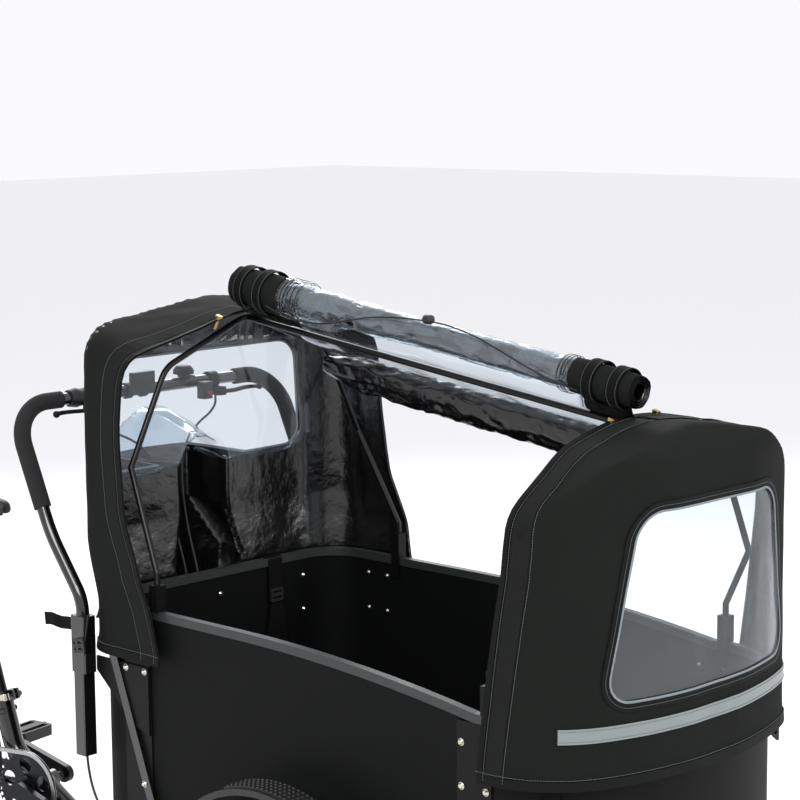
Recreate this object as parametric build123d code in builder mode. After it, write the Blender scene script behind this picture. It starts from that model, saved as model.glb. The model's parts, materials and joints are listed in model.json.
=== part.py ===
"""Three-wheeled box cargo bicycle with a rain tent.

+X is forward, +Y is the rider's left, +Z is up. The origin is on the ground, under the middle of the
object's bounding box. The box stands square to the axes, and the rear frame is parked turned a little
about the kingpin, so the rear frame has a plane of its own.
"""
from build123d import *
from math import asin, atan2, cos, degrees, hypot, pi, radians, sin, sqrt, tan
import os

os.makedirs("parts", exist_ok=True)

# ------------------------------------------------------------------ driving dimensions (millimetres)
BOX_X = 129.9            # rear edge of the visible side panel, ahead of the origin
BOX_HALF = 332.0         # half the box width, outside
BOX_BOTTOM = 300.0
BOX_TOP = 787.0          # top of the side and rear panels
FRONT_TOP = 744.0        # top of the panels at the front seam
LEVEL_RUN = 250.0        # the side panel's top edge stays level as far as here, then falls
WALL = 10.0
REAR_DEPTH = 175.0       # rear wall behind the side panel's rear edge
REAR_RADIUS = 90.0
NOSE_REACH = 1053.0      # front of the box ahead of the side panel's rear edge
NOSE_RADIUS = 663.0
FRONT_RADIUS = 150.0
FLOOR_THICK = 12.0
REAR_SEAM = -30.0
FRONT_SEAM = 828.0
STRIP_WIDE = 76.0
STRIP_THICK = 3.0
TRIM_WALL = 3.0
TRIM_FLANGE = 13.0

AXLE_REACH = 415.0       # front wheels ahead of the side panel's rear edge
TRACK_HALF = 405.0
FRONT_WHEEL = 255.0      # radius over the tyre
REAR_WHEEL = 305.0
TYRE_HALF = 24.0
MUDGUARD_GAP = 35.0
MUDGUARD_HALF = 32.0

PIVOT_REACH = 250.0      # kingpin ahead of the side panel's rear edge
KINGPIN = 30.0
PARK_TURN = 10.0         # how far the rear frame is turned where it is parked, degrees
BRACKET_U = -850.0       # bottom bracket behind the kingpin
BRACKET_Z = 285.0
REAR_AXLE_U = -1280.0
CRANK = 170.0
CHAINRING_TEETH = 38
SPROCKET_TEETH = 19
CHAIN_PITCH = 12.7
SEAT_TUBE_TOP_U = -962.0
SEAT_TUBE_TOP_Z = 470.0
SEAT_POST = 27.2
SADDLE_Z = 845.0

BAR_TUBE = 25.4
BAR_HALF = 353.0         # half the distance between the bar's legs
BAR_Z = 1145.0
BAR_BACK = -372.0        # top of the bar, from the side panel's rear edge
POST_BACK = -168.0
POST_BOTTOM = 480.0
SLEEVE_BOTTOM = 645.0
SLEEVE_TOP = 757.0
GRIP_OUTER = 34.0

HOOD_THICK = 6.0
HEM_REAR = 690.0
HEM_FRONT = 640.0
ROLL_Y = -36.0
POLE = 12.0
RUN_CLEAR = 0.05         # radial clearance of a running fit
GAP = 0.5                # room between pieces of different bodies

# ------------------------------------------------------------------ derived places
REAR_WALL_X = BOX_X - REAR_DEPTH
NOSE_X = BOX_X + NOSE_REACH
NOSE_CENTRE = NOSE_X - NOSE_RADIUS
NOSE_TURN = degrees(asin((BOX_HALF - FRONT_RADIUS) / (NOSE_RADIUS - FRONT_RADIUS)))
FRONT_CORNER_X = NOSE_CENTRE + (NOSE_RADIUS - FRONT_RADIUS) * cos(radians(NOSE_TURN))
AXLE_X = BOX_X + AXLE_REACH
PIVOT_X = BOX_X + PIVOT_REACH
SEAM_REAR_X = BOX_X + REAR_SEAM
SEAM_FRONT_X = BOX_X + FRONT_SEAM
INSIDE = BOX_HALF - WALL
OUTSIDE = BOX_HALF + STRIP_THICK
POST_X = BOX_X + POST_BACK
BAR_X = BOX_X + BAR_BACK

TURN = radians(PARK_TURN)
REAR = Plane(origin=(PIVOT_X, 0, 0), x_dir=(cos(TURN), sin(TURN), 0), z_dir=(0, 0, 1))


def rear_flat(height):
    """Level plane of the rear frame at a height."""
    return REAR.offset(height)


def rear_side(v):
    """Upright plane along the rear frame, looking at it from its right, at a place across it."""
    origin = REAR.from_local_coords((0, v, 0))
    return Plane(origin=origin, x_dir=REAR.x_dir, z_dir=-REAR.y_dir)


def save(piece, name):
    piece.part.label = name
    export_step(piece.part, f"parts/{name}.step")


def tube(points, radius, outer, bore=0.0, plane=Plane.XY, mode=Mode.ADD):
    """Round tube along straight runs with rounded corners, in the current part."""
    with BuildLine(plane) as run:
        if len(points) == 2:
            Line(*points)
        else:
            FilletPolyline(*points, radius=radius)
    start = run.wires()[0] @ 0
    along = run.wires()[0] % 0
    with BuildSketch(Plane(origin=start, z_dir=along)) as section:
        Circle(outer / 2)
        if bore:
            Circle(bore / 2, mode=Mode.SUBTRACT)
    sweep(section.sketch, path=run.wires()[0], mode=mode)


def rod(start, end, diameter, mode=Mode.ADD):
    """Plain cylinder between two points, in the current part."""
    start, end = Vector(*start), Vector(*end)
    with BuildSketch(Plane(origin=start, z_dir=end - start)) as section:
        Circle(diameter / 2)
    extrude(section.sketch, amount=(end - start).length, mode=mode)


def cord_radii(points):
    """Each arc as large as its two runs allow: 0.45 of the shorter run over tan(half the turn)."""
    radii = []
    for before, here, after in zip(points, points[1:], points[2:]):
        run_in = Vector(*here) - Vector(*before)
        run_out = Vector(*after) - Vector(*here)
        half_turn = radians(run_in.get_angle(run_out)) / 2
        radii.append(0.45 * min(run_in.length, run_out.length) / tan(half_turn))
    return radii


def cord(points, diameter, name):
    """Cord of straight runs joined by tangent arcs, in the current part; prints its arcs."""
    radii = cord_radii(points)
    with BuildLine() as run:
        FilletPolyline(*points, radius=radii)
    route = run.wires()[0]
    with BuildSketch(Plane(origin=route @ 0, z_dir=route % 0)) as section:
        Circle(diameter / 2)
    sweep(section.sketch, path=route)
    volume = pi * diameter ** 2 / 4 * route.length
    print(name, "length", round(route.length, 1), "volume", round(volume, 1), "radii", [round(r) for r in radii])


# ------------------------------------------------------------------ the box
def box_outline(grow, mode=Mode.ADD):
    """Plan outline of the box grown outwards, added to the current sketch as a face."""
    side = BOX_HALF + grow
    rear_corner = REAR_WALL_X + REAR_RADIUS
    with BuildLine() as edge:
        Line((REAR_WALL_X - grow, 0), (REAR_WALL_X - grow, REAR_RADIUS - BOX_HALF))
        CenterArc((rear_corner, REAR_RADIUS - BOX_HALF), REAR_RADIUS + grow, 180, 90)
        Line((rear_corner, -side), (FRONT_CORNER_X, -side))
        CenterArc((FRONT_CORNER_X, FRONT_RADIUS - BOX_HALF), FRONT_RADIUS + grow, -90, 90 - NOSE_TURN)
        CenterArc((NOSE_CENTRE, 0), NOSE_RADIUS + grow, -NOSE_TURN, NOSE_TURN)
        mirror(about=Plane.XZ)
    make_face(edge.edges(), mode=mode)


def keep_between(low, high):
    """Keep the part of the current sketch between two places along X."""
    with Locations(((low + high) / 2, 0)):
        Rectangle(high - low, 4 * BOX_HALF, mode=Mode.INTERSECT)


def side_outline(rise, mode=Mode.ADD):
    """Side panel seen from the side, with its top edge raised, as a face in the current sketch."""
    level_end = BOX_X + LEVEL_RUN
    with BuildLine() as edge:
        Line((SEAM_REAR_X, BOX_BOTTOM), (SEAM_REAR_X, BOX_TOP + rise))
        Line((SEAM_REAR_X, BOX_TOP + rise), (level_end, BOX_TOP + rise))
        TangentArc((level_end, BOX_TOP + rise), (SEAM_FRONT_X, FRONT_TOP + rise), tangent=(1, 0))
        Line((SEAM_FRONT_X, FRONT_TOP + rise), (SEAM_FRONT_X, BOX_BOTTOM))
        Line((SEAM_FRONT_X, BOX_BOTTOM), (SEAM_REAR_X, BOX_BOTTOM))
    make_face(edge.edges(), mode=mode)


with BuildPart() as side_panel_right:
    with BuildSketch(Plane.XZ.offset(INSIDE)):
        side_outline(0)
    extrude(amount=WALL)
save(side_panel_right, "side_panel_right")

with BuildPart() as side_panel_left:
    with BuildSketch(Plane.XZ.offset(-BOX_HALF)):
        side_outline(0)
    extrude(amount=WALL)
save(side_panel_left, "side_panel_left")

with BuildPart() as rear_panel:
    with BuildSketch(Plane.XY.offset(BOX_BOTTOM)):
        box_outline(0)
        box_outline(-WALL, mode=Mode.SUBTRACT)
        keep_between(REAR_WALL_X - WALL, SEAM_REAR_X)
    extrude(amount=BOX_TOP - BOX_BOTTOM)
save(rear_panel, "rear_panel")

with BuildPart() as front_panel:
    with BuildSketch(Plane.XY.offset(BOX_BOTTOM)):
        box_outline(0)
        box_outline(-WALL, mode=Mode.SUBTRACT)
        keep_between(SEAM_FRONT_X, NOSE_X + WALL)
    extrude(amount=FRONT_TOP - BOX_BOTTOM)
save(front_panel, "front_panel")

with BuildPart() as box_floor:
    with BuildSketch(Plane.XY.offset(BOX_BOTTOM)):
        box_outline(-WALL)
    extrude(amount=FLOOR_THICK)
save(box_floor, "box_floor")


def bent_trim(top, low, high):
    """Rubber channel over the top of a bent panel, in the current part."""
    with BuildSketch(Plane.XY.offset(top - TRIM_FLANGE)) as channel:
        box_outline(TRIM_WALL)
        box_outline(-WALL - TRIM_WALL, mode=Mode.SUBTRACT)
        keep_between(low, high)
    extrude(channel.sketch, amount=TRIM_FLANGE + TRIM_WALL)
    with BuildSketch(Plane.XY.offset(top - TRIM_FLANGE)) as slot:
        box_outline(0)
        box_outline(-WALL, mode=Mode.SUBTRACT)
        keep_between(low, high)
    extrude(slot.sketch, amount=TRIM_FLANGE, mode=Mode.SUBTRACT)


with BuildPart() as edge_trim:
    for outer_face in (BOX_HALF + TRIM_WALL, -INSIDE + TRIM_WALL):
        with BuildSketch(Plane.XZ.offset(outer_face)):
            side_outline(TRIM_WALL)
            side_outline(-TRIM_FLANGE, mode=Mode.SUBTRACT)
        extrude(amount=-(WALL + 2 * TRIM_WALL))
        with BuildSketch(Plane.XZ.offset(outer_face - TRIM_WALL)):
            side_outline(0)
        extrude(amount=-WALL, mode=Mode.SUBTRACT)
    bent_trim(BOX_TOP, REAR_WALL_X - STRIP_WIDE, SEAM_REAR_X)
    bent_trim(FRONT_TOP, SEAM_FRONT_X, NOSE_X + STRIP_WIDE)
save(edge_trim, "edge_trim")

# Outside seam strips, the two rear gussets, and the four sockets that the tent's poles stand in.
GUSSET_THICK = 4.0
SOCKET = 22.0
SOCKET_TALL = 50.0
SOCKET_TAB = 3.0
SOCKET_TAB_LOW = 43.0
SOCKET_Y = BOX_HALF - WALL / 2
SOCKET_REAR_X = BOX_X + 26.0
SOCKET_FRONT_X = SEAM_FRONT_X + 28.0
FALL_RADIUS = ((FRONT_SEAM - LEVEL_RUN) ** 2 + (BOX_TOP - FRONT_TOP) ** 2) / (2 * (BOX_TOP - FRONT_TOP))
GUSSET_TOP = 678.0
strips = ((SEAM_REAR_X, BOX_TOP), (SEAM_FRONT_X, FRONT_TOP))
sockets = ((SOCKET_REAR_X, BOX_TOP), (SOCKET_FRONT_X, FRONT_TOP))
with BuildPart() as corner_plates:
    for side in (-1, 1):
        for seam_x, top in strips:
            strip_tall = top - TRIM_FLANGE - GAP - BOX_BOTTOM
            with BuildSketch(Plane.XY.offset(BOX_BOTTOM)):
                with Locations((seam_x, side * (BOX_HALF + STRIP_THICK / 2))):
                    Rectangle(STRIP_WIDE, STRIP_THICK)
            extrude(amount=strip_tall)
        with BuildSketch(Plane.XZ.offset(-side * (OUTSIDE + (1 + side) / 2 * GUSSET_THICK))):
            with BuildLine():
                Polyline(
                    (POST_X + SOCKET - 1, GUSSET_TOP),
                    (BOX_X + 6, GUSSET_TOP),
                    (BOX_X + 6, GUSSET_TOP - 132),
                    (BOX_X - 40, GUSSET_TOP - 118),
                    (POST_X + SOCKET - 1, GUSSET_TOP - 28),
                    close=True,
                )
            make_face()
        extrude(amount=GUSSET_THICK)
        for socket_x, top in sockets:
            foot = top + TRIM_WALL + GAP
            with BuildSketch(Plane.XY.offset(foot)):
                with Locations((socket_x, side * SOCKET_Y)):
                    Rectangle(SOCKET, SOCKET)
            extrude(amount=SOCKET_TALL)
            with BuildSketch(Plane.XY.offset(foot + TRIM_WALL)):
                with Locations((socket_x, side * SOCKET_Y)):
                    Circle(POLE / 2 + RUN_CLEAR)
            extrude(amount=SOCKET_TALL, mode=Mode.SUBTRACT)
            tab_y = SOCKET_Y - SOCKET / 2 + SOCKET_TAB / 2
            with BuildSketch(Plane.XY.offset(foot - SOCKET_TAB_LOW)):
                with Locations((socket_x, side * tab_y)):
                    Rectangle(SOCKET, SOCKET_TAB)
            extrude(amount=SOCKET_TAB_LOW + TRIM_WALL)
save(corner_plates, "corner_plates")

BRACE_WIDE = 20.0
BRACE_THICK = 4.0
BRACE_TOP = (POST_X + 64, 720.0)
BRACE_END = (BOX_X + 62, 285.0)
brace_run = Vector(*BRACE_END) - Vector(*BRACE_TOP)
brace_middle = (Vector(*BRACE_END) + Vector(*BRACE_TOP)) / 2
with BuildPart() as side_braces:
    for side in (-1, 1):
        inner_face = OUTSIDE + GUSSET_THICK
        with BuildSketch(Plane.XZ.offset(-side * (inner_face + (1 + side) / 2 * BRACE_THICK))):
            with Locations(Location((brace_middle.X, brace_middle.Y), degrees(atan2(brace_run.Y, brace_run.X)))):
                SlotOverall(brace_run.length, BRACE_WIDE)
        extrude(amount=BRACE_THICK)
save(side_braces, "side_braces")

# Stainless dome-head bolts: on the seams, outside and inside, and in rows on the rear wall.
BOLT_HEAD = 13.0
BOLT_RISE = 5.0
BOLT_COLUMN = 27.0
REAR_ROWS = (745.0, 670.0, 372.0)
FRONT_ROWS = (694.0, 619.0, 447.0, 372.0)
WALL_ROWS = (738.0, 665.0)
WALL_COLUMNS = (-235.0, 0.0, 235.0)
DOME_RIM = 1.2


def dome(face_plane):
    """Dome-head bolt standing on a plane, in the current part."""
    with BuildSketch(face_plane) as rim:
        Circle(BOLT_HEAD / 2)
    extrude(rim.sketch, amount=DOME_RIM)
    with BuildSketch(face_plane.offset(DOME_RIM)) as crown:
        Circle(BOLT_HEAD / 2 - DOME_RIM / 2)
    extrude(crown.sketch, amount=BOLT_RISE - DOME_RIM, taper=35)


with BuildPart() as panel_bolts:
    for side in (-1, 1):
        out = Vector(0, side, 0)
        for seam_x, rows in ((SEAM_REAR_X, REAR_ROWS), (SEAM_FRONT_X, FRONT_ROWS)):
            for row in rows:
                for column in (-BOLT_COLUMN, BOLT_COLUMN):
                    skin = OUTSIDE
                    if seam_x == SEAM_REAR_X and GUSSET_TOP - 132 < row < GUSSET_TOP:
                        skin = OUTSIDE + GUSSET_THICK
                    dome(Plane(origin=(seam_x + column, side * skin, row), z_dir=out))
                    dome(Plane(origin=(seam_x + column, side * INSIDE, row), z_dir=-out))
        dome(Plane(origin=(BRACE_END[0] - 68, side * (OUTSIDE + GUSSET_THICK + BRACE_THICK), 451), z_dir=out))
    for row in WALL_ROWS:
        for column in WALL_COLUMNS:
            dome(Plane(origin=(REAR_WALL_X + WALL, column, row), z_dir=(1, 0, 0)))
save(panel_bolts, "panel_bolts")

# ------------------------------------------------------------------ underframe, kingpin and stub axles
FRAME_TUBE = 30.0
FRAME_TOP = BOX_BOTTOM - GAP
FRAME_HALF = 270.0
FRAME_REAR_X = BOX_X - 130.0
FRAME_FRONT_X = BOX_X + 930.0
BEAM = 40.0
HEAD_TUBE = 44.0
HEAD_LOW = 140.0
HEAD_HIGH = 238.0
frame_mid = FRAME_TOP - FRAME_TUBE / 2
with BuildPart() as underframe:
    for y in (-FRAME_HALF, FRAME_HALF):
        with Locations(((FRAME_REAR_X + FRAME_FRONT_X) / 2, y, frame_mid)):
            Box(FRAME_FRONT_X - FRAME_REAR_X, FRAME_TUBE, FRAME_TUBE)
    for x in (FRAME_REAR_X + FRAME_TUBE / 2, PIVOT_X, FRAME_FRONT_X - FRAME_TUBE / 2):
        with Locations((x, 0, frame_mid)):
            Box(FRAME_TUBE * (1.6 if x == PIVOT_X else 1), 2 * FRAME_HALF, FRAME_TUBE)
    with Locations((AXLE_X, 0, FRONT_WHEEL)):
        Box(BEAM, 2 * (BOX_HALF - WALL), BEAM)
save(underframe, "underframe")

COLLAR = 52.0
COLLAR_THICK = 10.0
with BuildPart() as kingpin:
    rod((PIVOT_X, 0, HEAD_LOW - GAP), (PIVOT_X, 0, frame_mid - FRAME_TUBE / 2), KINGPIN)
    rod((PIVOT_X, 0, HEAD_LOW - GAP - COLLAR_THICK), (PIVOT_X, 0, HEAD_LOW - GAP), COLLAR)
    rod((PIVOT_X, 0, HEAD_HIGH + GAP), (PIVOT_X, 0, HEAD_HIGH + GAP + COLLAR_THICK), COLLAR)
save(kingpin, "kingpin")

AXLE = 12.0
AXLE_BOSS = 26.0
HUB_HALF = 34.0
HUB_BORE = 2 * (AXLE / 2 + RUN_CLEAR)
AXLE_NUT = 20.0
AXLE_NUT_THICK = 8.0
hub_inner = TRACK_HALF - HUB_HALF
hub_outer = TRACK_HALF + HUB_HALF - 12
with BuildPart() as stub_axles:
    for side in (-1, 1):
        rod((AXLE_X, side * (BOX_HALF - WALL), FRONT_WHEEL), (AXLE_X, side * (hub_inner - GAP), FRONT_WHEEL), AXLE_BOSS)
        rod((AXLE_X, side * (hub_inner - GAP), FRONT_WHEEL), (AXLE_X, side * (hub_outer + GAP), FRONT_WHEEL), AXLE)
        nut_start = hub_outer + GAP
        with BuildSketch(Plane(origin=(AXLE_X, side * nut_start, FRONT_WHEEL), z_dir=(0, side, 0))):
            RegularPolygon(AXLE_NUT / 2, 6)
        extrude(amount=AXLE_NUT_THICK)
save(stub_axles, "stub_axles")

# ------------------------------------------------------------------ child bench
BENCH_TOP = 520.0
BENCH_THICK = 15.0
BENCH_DEEP = 240.0
bench_rear = REAR_WALL_X + WALL + GAP
with BuildPart() as child_bench:
    with BuildSketch(Plane.XY.offset(BENCH_TOP - BENCH_THICK)):
        box_outline(-WALL - GAP)
        keep_between(bench_rear, bench_rear + BENCH_DEEP)
    extrude(amount=BENCH_THICK)
    front_board = bench_rear + BENCH_DEEP - BENCH_THICK / 2 - 10
    with Locations((front_board, 0, (BOX_BOTTOM + FLOOR_THICK + BENCH_TOP - BENCH_THICK) / 2)):
        Box(BENCH_THICK, 2 * (INSIDE - 6), BENCH_TOP - BENCH_THICK - BOX_BOTTOM - FLOOR_THICK)
save(child_bench, "child_bench")

# ------------------------------------------------------------------ seat belt over the rear wall
WEB = 35.0
WEB_THICK = 2.0
BELT_Y = 150.0
belt_top = BOX_TOP + TRIM_WALL + 0.3
belt_inner = REAR_WALL_X + WALL + TRIM_WALL + 0.3
belt_outer = REAR_WALL_X - TRIM_WALL - 0.3
BELT_BACK_DROP = 46.0
ADJUSTER_Z = 712.0
ADJUSTER_TALL = 30.0
BELT_LOW = 545.0
with BuildPart() as seat_belts:
    with BuildSketch(Plane.XZ.offset(-BELT_Y - WEB / 2)):
        with BuildLine():
            Polyline(
                (belt_outer - WEB_THICK, belt_top - BELT_BACK_DROP),
                (belt_outer - WEB_THICK, belt_top + WEB_THICK),
                (belt_inner + WEB_THICK, belt_top + WEB_THICK),
                (belt_inner + WEB_THICK, ADJUSTER_Z + ADJUSTER_TALL / 2),
                (belt_inner, ADJUSTER_Z + ADJUSTER_TALL / 2),
                (belt_inner, belt_top),
                (belt_outer, belt_top),
                (belt_outer, belt_top - BELT_BACK_DROP),
                close=True,
            )
        make_face()
    extrude(amount=WEB)
    for spread, depth in ((-26, 8), (22, 16)):
        with BuildSketch(Plane.YZ.offset(belt_inner + depth)):
            with BuildLine():
                Polyline(
                    (BELT_Y + spread * 0.3 - WEB / 2, ADJUSTER_Z - ADJUSTER_TALL / 2 - 4),
                    (BELT_Y + spread * 0.3 + WEB / 2, ADJUSTER_Z - ADJUSTER_TALL / 2 - 4),
                    (BELT_Y + spread + WEB / 2, BELT_LOW + depth),
                    (BELT_Y + spread - WEB / 2, BELT_LOW + depth),
                    close=True,
                )
            make_face()
        extrude(amount=WEB_THICK)
save(seat_belts, "seat_belts")

# ------------------------------------------------------------------ handlebar and its posts
KNEE_X = POST_X - 93.0
KNEE_Z = 905.0
bar_path = [
    (POST_X, -BAR_HALF, SLEEVE_BOTTOM + 10),
    (POST_X, -BAR_HALF, SLEEVE_TOP + 29),
    (KNEE_X, -BAR_HALF, KNEE_Z),
    (BAR_X, -BAR_HALF, BAR_Z),
    (BAR_X, BAR_HALF, BAR_Z),
    (KNEE_X, BAR_HALF, KNEE_Z),
    (POST_X, BAR_HALF, SLEEVE_TOP + 29),
    (POST_X, BAR_HALF, SLEEVE_BOTTOM + 10),
]
BAR_BENDS = [80, 300, 85, 85, 300, 80]
with BuildPart() as handlebar:
    tube(bar_path, BAR_BENDS, BAR_TUBE, bore=BAR_TUBE - 4)
save(handlebar, "handlebar")

# Foam sleeves slide along the bar from the bend at the top down each leg.
leg = Vector(BAR_X - KNEE_X, 0, BAR_Z - KNEE_Z)
GRIP_LOW = 0.2           # share of the leg left bare above the lower bend
GRIP_TOP_Y = 234.0
GRIP_BORE_CLEAR = 0.4
with BuildPart() as foam_grips:
    for side in (-1, 1):
        low = (KNEE_X + GRIP_LOW * leg.X, side * BAR_HALF, KNEE_Z + GRIP_LOW * leg.Z)
        grip_path = [low, (BAR_X, side * BAR_HALF, BAR_Z), (BAR_X, side * GRIP_TOP_Y, BAR_Z)]
        tube(grip_path, 85, GRIP_OUTER)
        tube(grip_path, 85, BAR_TUBE + GRIP_BORE_CLEAR, mode=Mode.SUBTRACT)
save(foam_grips, "foam_grips")

SLEEVE = 42.0
POST = 30.0
POST_WALL = 2.5
NUT = 12.0
with BuildPart() as handlebar_posts:
    for side in (-1, 1):
        y = side * BAR_HALF
        with BuildSketch(Plane.XY.offset(SLEEVE_BOTTOM)):
            with Locations((POST_X, y)):
                RectangleRounded(SLEEVE, POST, 4)
                Circle(BAR_TUBE / 2 + 0.02, mode=Mode.SUBTRACT)
        extrude(amount=SLEEVE_TOP - SLEEVE_BOTTOM)
        with BuildSketch(Plane.XY.offset(POST_BOTTOM)):
            with Locations((POST_X, y)):
                RectangleRounded(POST, POST, 3)
                RectangleRounded(POST - 2 * POST_WALL, POST - 2 * POST_WALL, 2, mode=Mode.SUBTRACT)
        extrude(amount=SLEEVE_BOTTOM - POST_BOTTOM)
        for nut_z in (SLEEVE_BOTTOM + 18, SLEEVE_BOTTOM + 42):
            dome(Plane(origin=(POST_X - SLEEVE / 2, y, nut_z), z_dir=(-1, 0, 0)))
save(handlebar_posts, "handlebar_posts")

# ------------------------------------------------------------------ controls on the bar
LEVER_Y = 168.0
LEVER_DROP = 22.0
LEVER_AHEAD = 34.0
CLAMP_WIDE = 22.0
clamp_outer = BAR_TUBE / 2 + 5
PIVOT_PIN = 6.0
EAR_GAP = 9.0
EAR = 4.0
with BuildPart() as lever_mounts:
    for side in (-1, 1):
        y = side * LEVER_Y
        with BuildSketch(Plane.XZ.offset(-y - CLAMP_WIDE / 2)):
            with Locations((BAR_X, BAR_Z)):
                Circle(clamp_outer)
                Circle(BAR_TUBE / 2 + 0.02, mode=Mode.SUBTRACT)
        extrude(amount=CLAMP_WIDE)
        # Two ears ahead of and below the bar hold the lever's pin, which stands upright.
        for ear_z in (BAR_Z - LEVER_DROP + EAR_GAP / 2 + EAR / 2, BAR_Z - LEVER_DROP - EAR_GAP / 2 - EAR / 2):
            with BuildSketch(Plane.XY.offset(ear_z - EAR / 2)):
                with Locations((BAR_X + LEVER_AHEAD / 2 + 4, y)):
                    RectangleRounded(LEVER_AHEAD + 4, CLAMP_WIDE, 5)
            extrude(amount=EAR)
        with Locations((BAR_X + 7, y, BAR_Z - LEVER_DROP + 1)):
            Box(10, CLAMP_WIDE, EAR_GAP + 2 * EAR)
        with BuildSketch(Plane.XZ.offset(-y - CLAMP_WIDE / 2)):
            with Locations((BAR_X, BAR_Z)):
                Circle(BAR_TUBE / 2 + 0.02)
        extrude(amount=CLAMP_WIDE, mode=Mode.SUBTRACT)
        pin_x = BAR_X + LEVER_AHEAD
        rod((pin_x, y, BAR_Z - LEVER_DROP - EAR_GAP / 2 - EAR), (pin_x, y, BAR_Z - LEVER_DROP + EAR_GAP / 2 + EAR), PIVOT_PIN)
save(lever_mounts, "lever_mounts")

LEVER_THICK = 7.0
BALL = 14.0
for side, lever_name in ((-1, "brake_lever_right"), (1, "brake_lever_left")):
    pin = Vector(BAR_X + LEVER_AHEAD, side * LEVER_Y, BAR_Z - LEVER_DROP)
    with BuildPart() as brake_lever:
        with BuildSketch(Plane.XY.offset(pin.Z - LEVER_THICK / 2)):
            with BuildLine():
                Spline(
                    (pin.X + 6, pin.Y - side * 6),
                    (pin.X + 14, pin.Y + side * 28),
                    (pin.X + 2, pin.Y + side * 62),
                    (pin.X + 8, pin.Y + side * 104),
                )
                Line((pin.X + 8, pin.Y + side * 104), (pin.X + 0, pin.Y + side * 104))
                Spline(
                    (pin.X + 0, pin.Y + side * 104),
                    (pin.X - 7, pin.Y + side * 62),
                    (pin.X + 3, pin.Y + side * 26),
                    (pin.X - 7, pin.Y + side * 4),
                )
                Line((pin.X - 7, pin.Y + side * 4), (pin.X + 6, pin.Y - side * 6))
            make_face()
            with Locations((pin.X, pin.Y)):
                Circle(8)
        extrude(amount=LEVER_THICK)
        with Locations((pin.X + 4, pin.Y + side * 106, pin.Z)):
            Sphere(BALL / 2)
        rod((pin.X, pin.Y, pin.Z - LEVER_THICK), (pin.X, pin.Y, pin.Z + LEVER_THICK), PIVOT_PIN + 2 * RUN_CLEAR, mode=Mode.SUBTRACT)
    save(brake_lever, lever_name)

# Parking-brake button in its housing ahead of the left lever's clamp; the bell; the display.
BUTTON = 9.0
BUTTON_OUT = 5.0
BUTTON_Y = 128.0
HOUSING = 26.0
housing_top = BAR_Z + 2
housing_low = BAR_Z - 34
BELL_Y = 92.0
BELL = 44.0
DISPLAY_Y = -18.0
with BuildPart() as control_housings:
    with BuildSketch(Plane.XY.offset(housing_low)):
        with Locations((BAR_X + BAR_TUBE / 2 + HOUSING / 2 + 0.4, BUTTON_Y)):
            RectangleRounded(HOUSING, HOUSING, 5)
    extrude(amount=housing_top - housing_low)
    button_x = BAR_X + BAR_TUBE / 2 + HOUSING + 0.4
    rod((button_x - 12, BUTTON_Y, housing_low + 12), (button_x + 1, BUTTON_Y, housing_low + 12), BUTTON + 2 * RUN_CLEAR, mode=Mode.SUBTRACT)
save(control_housings, "control_housings")

with BuildPart() as parking_button:
    rod((button_x - 6, BUTTON_Y, housing_low + 12), (button_x + BUTTON_OUT, BUTTON_Y, housing_low + 12), BUTTON)
    fillet(parking_button.faces().sort_by(Axis.X)[-1].edges(), 1.5)
save(parking_button, "parking_button")

BELL_FOOT = BAR_Z + BAR_TUBE / 2 + 0.3
STRIKER_PIVOT = 17.0
STRIKER_PIN = 2.0
STRIKER_CLEAR = 0.3
with BuildPart() as bell:
    with BuildSketch(Plane.XY.offset(BELL_FOOT)):
        with Locations((BAR_X, BELL_Y)):
            RectangleRounded(18, 22, 4)
    extrude(amount=7)
    with BuildSketch(Plane.XY.offset(BELL_FOOT + 7)):
        with Locations((BAR_X, BELL_Y)):
            Circle(BELL / 2)
    extrude(amount=8)
    with BuildSketch(Plane.XY.offset(BELL_FOOT + 15)):
        with Locations((BAR_X, BELL_Y)):
            Circle(BELL / 2)
    extrude(amount=9, taper=38)
    with BuildSketch(Plane.XY.offset(BELL_FOOT + 1)):
        with Locations((BAR_X + STRIKER_PIVOT, BELL_Y)):
            Circle(STRIKER_PIN / 2)
    extrude(amount=6.5)
save(bell, "bell")

STRIKER_Z = BELL_FOOT + 1.5
with BuildPart() as bell_striker:
    with BuildSketch(Plane.XY.offset(STRIKER_Z)):
        with Locations((BAR_X + 18, BELL_Y)):
            SlotOverall(34, 9, rotation=0)
        with Locations((BAR_X + 18 - 12.5, BELL_Y)):
            Rectangle(14, 12, mode=Mode.SUBTRACT)
        with Locations((BAR_X + STRIKER_PIVOT, BELL_Y)):
            Circle(STRIKER_PIN / 2 + STRIKER_CLEAR, mode=Mode.SUBTRACT)
    extrude(amount=4)
save(bell_striker, "bell_striker")

DISPLAY_WIDE = 62.0
DISPLAY_DEEP = 16.0
DISPLAY_TALL = 46.0
display_low = BAR_Z - 6
display_x = BAR_X + BAR_TUBE / 2 + 7
with BuildPart() as display_unit:
    with BuildSketch(Plane.XY.offset(display_low)):
        with Locations((display_x + DISPLAY_DEEP / 2, DISPLAY_Y - 26)):
            RectangleRounded(DISPLAY_DEEP, DISPLAY_WIDE, 6)
    extrude(amount=DISPLAY_TALL)
    for clamp_y in (DISPLAY_Y - 4, DISPLAY_Y - 44):
        with BuildSketch(Plane.XZ.offset(-clamp_y - 6)):
            with Locations((BAR_X, BAR_Z)):
                Circle(BAR_TUBE / 2 + 4)
            with Locations((BAR_X + BAR_TUBE / 2 + 5, BAR_Z)):
                Rectangle(12, 12)
        extrude(amount=12)
    with BuildSketch(Plane.XZ.offset(200)):
        with Locations((BAR_X, BAR_Z)):
            Circle(BAR_TUBE / 2 + 0.02)
    extrude(amount=-400, mode=Mode.SUBTRACT)
save(display_unit, "display_unit")

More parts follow.
